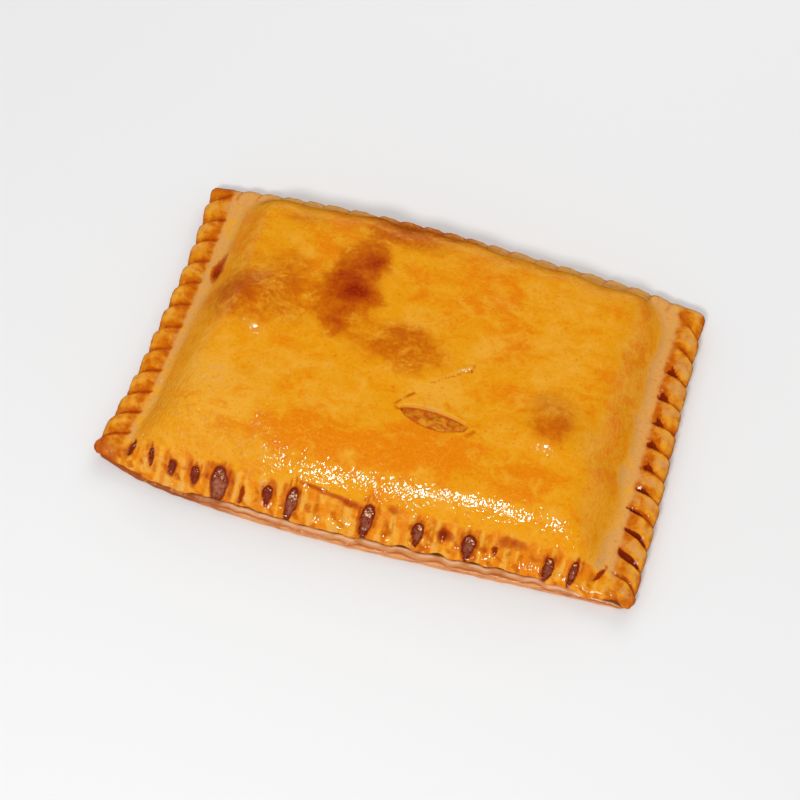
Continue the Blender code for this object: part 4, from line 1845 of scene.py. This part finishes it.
@dataclass(frozen=True)
class Filling(Layer):
    """The filling: a lumpy body under the dome, which wells up towards the steam cut's near edge.

    Below_top is how far its top lies under the top of the crust.
    """

    name: str = "stewed_filling"
    node: str = "filling"
    slot: str = "filling"
    vent: Vent = Vent()
    steps: int = 14
    rings: int = 16
    floor: float = 5.4
    below_top: float = 2.4
    least_below: float = 0.5
    behind_foot: float = 8.0
    side_rise: float = 14.0
    welling: float = 1.7

    def build(self, finish: FillingFinish) -> bpy.types.Object:
        """Build and dress the filling.

        Args:
            finish: Its look.

        Returns:
            The piece.
        """
        rise = np.linspace(0, 1, self.rings)[:, None]
        columns = []
        for index, u in self.stations(self.steps):
            side, u = self.form.sides[index], u[None]
            foot = self.form.blended(index, u, lambda s: s.foot + self.behind_foot)
            x, y = self.form.plan_point(side, u, foot + self.side_rise * rise**2)
            z = self.floor + (self.height(x, y) - self.floor) * np.sin(rise * math.pi / 2)
            columns.append({"x": x, "y": y, "z": z})
        joined = side_by_side(columns)
        data = self.mesh([Skin(**joined, values={})], self.height, lambda x, y: {})
        return self.place(data, finish.build())

    def height(self, x: Array, y: Array) -> Array:
        """Height of the filling's top: lumpy, just under the crust.

        Args:
            x: Plan positions along X.
            y: Plan positions along Y.

        Returns:
            The height.
        """
        lumps = 0.5 * wavy(x, y * 1.4, 7.0, 61) + 0.3 * wavy(x, y, 2.8, 62)
        t, off = self.vent.lens_place(x, y)
        welling = self.welling * smooth((0.5 - off) / 6.0) * smooth((off + 11.0) / 3.0)
        welling = welling * (t > -0.1) * (t < 1.1)
        below = np.maximum(self.below_top - lumps - welling, self.least_below)
        return np.maximum(self.form.top(x, y) - below, self.floor)


@dataclass(frozen=True)
class Studio:
    """A pale table, soft light from above and a camera at the photograph's angle."""

    lens: float = 65.0
    elevation: float = math.radians(62.435)
    azimuth: float = math.radians(17.453)
    slide: tuple[float, float] = (-3.646, -6.878)
    distance: float = 816.06
    sensor: float = 36.0
    table_half: float = 3.0
    table_grey: float = 0.9
    table_roughness: float = 0.8
    surround: float = 0.50
    lit: Place = (0.0, 0.0, 0.02)
    card_height: float = 0.2

    def build(self) -> None:
        """Make the table, the lights and the camera."""
        self.table()
        self.lights()
        self.camera()

    def table(self) -> None:
        """A wide pale table top."""
        mesh = bmesh.new()
        bmesh.ops.create_grid(mesh, x_segments=1, y_segments=1, size=self.table_half)
        data = bpy.data.meshes.new("table_top")
        mesh.to_mesh(data)
        mesh.free()
        top = bpy.data.objects.new("table_top", data)
        bpy.context.scene.collection.objects.link(top)
        graph = Graph("pale_table")
        graph.shader.inputs["Base Color"].default_value = (*(self.table_grey,) * 3, 1.0)
        graph.shader.inputs["Roughness"].default_value = self.table_roughness
        data.materials.append(graph.material)
        top.visible_glossy = False

    def lights(self) -> None:
        """An even surround, a small key in front, a dim fill behind, and low cards all round."""
        world = bpy.data.worlds.new("surround")
        world.use_nodes = True
        ground = world.node_tree.nodes["Background"].inputs
        ground["Color"].default_value = (1.0, 1.0, 1.0, 1.0)
        ground["Strength"].default_value = self.surround
        world.cycles_visibility.glossy = False
        bpy.context.scene.world = world
        self.softbox("key", (-0.03, -1.05, 1.17), self.lit, 0.30, 0.21, 10.8)
        fill = self.softbox("fill", (0.05, 1.15, 0.85), self.lit, 1.2, 0.7, 5.5)
        fill.visible_glossy = False
        sides = {
            "back": (0.0, 1.25), "left": (-1.25, 0.0), "right": (1.25, 0.0), "front": (0.0, -1.3),
        }
        for name, place in sides.items():
            self.softbox(f"{name}_card", (*place, self.card_height), self.lit, 1.8, 0.36, 0.75)

    @staticmethod
    def softbox(
        name: str,
        place: Place,
        target: Place,
        wide: float,
        deep: float,
        power: float,
    ) -> bpy.types.Object:
        """Hang a rectangular soft light that faces a target.

        Args:
            name: The light's name.
            place: Where it hangs, in metres.
            target: What it faces.
            wide: Its width.
            deep: Its depth.
            power: Its power in watts.

        Returns:
            The light.
        """
        lamp = bpy.data.lights.new(name, "AREA")
        lamp.shape = "RECTANGLE"
        lamp.size, lamp.size_y, lamp.energy = wide, deep, power
        made = bpy.data.objects.new(name, lamp)
        made.location = place
        aim = Vector(target) - Vector(place)
        made.rotation_euler = aim.to_track_quat("-Z", "Y").to_euler()
        bpy.context.scene.collection.objects.link(made)
        return made

    def camera(self) -> None:
        """The camera, at the photograph's angle, distance and framing."""
        back = Vector((
            math.sin(self.azimuth) * math.cos(self.elevation),
            -math.cos(self.azimuth) * math.cos(self.elevation),
            math.sin(self.elevation),
        ))
        right = Vector((math.cos(self.azimuth), math.sin(self.azimuth), 0.0))
        up = back.cross(right)
        place = right * self.slide[0] + up * self.slide[1] + back * self.distance
        place -= Vector((*PLAN_MIDDLE, 0.0))
        data = bpy.data.cameras.new("camera")
        data.lens, data.sensor_width = self.lens, self.sensor
        data.clip_start, data.clip_end = 0.05, 20.0
        made = bpy.data.objects.new("camera", data)
        turned = Matrix((right, up, back)).transposed().to_4x4()
        made.matrix_world = Matrix.Translation(place * MM) @ turned
        bpy.context.scene.collection.objects.link(made)
        bpy.context.scene.camera = made


def main() -> None:
    """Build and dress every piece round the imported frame."""
    logging.basicConfig(level=logging.INFO, format="%(message)s")
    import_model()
    form, vent = Form(), Vent()
    BottomSheet(form).build(DoughFinish())
    Filling(form, vent=vent).build(FillingFinish())
    Crust(form, vent=vent).build(CrustFinish())
    Studio().build()
    bpy.context.scene.view_settings.view_transform = "Standard"


if __name__ == "__main__":
    main()
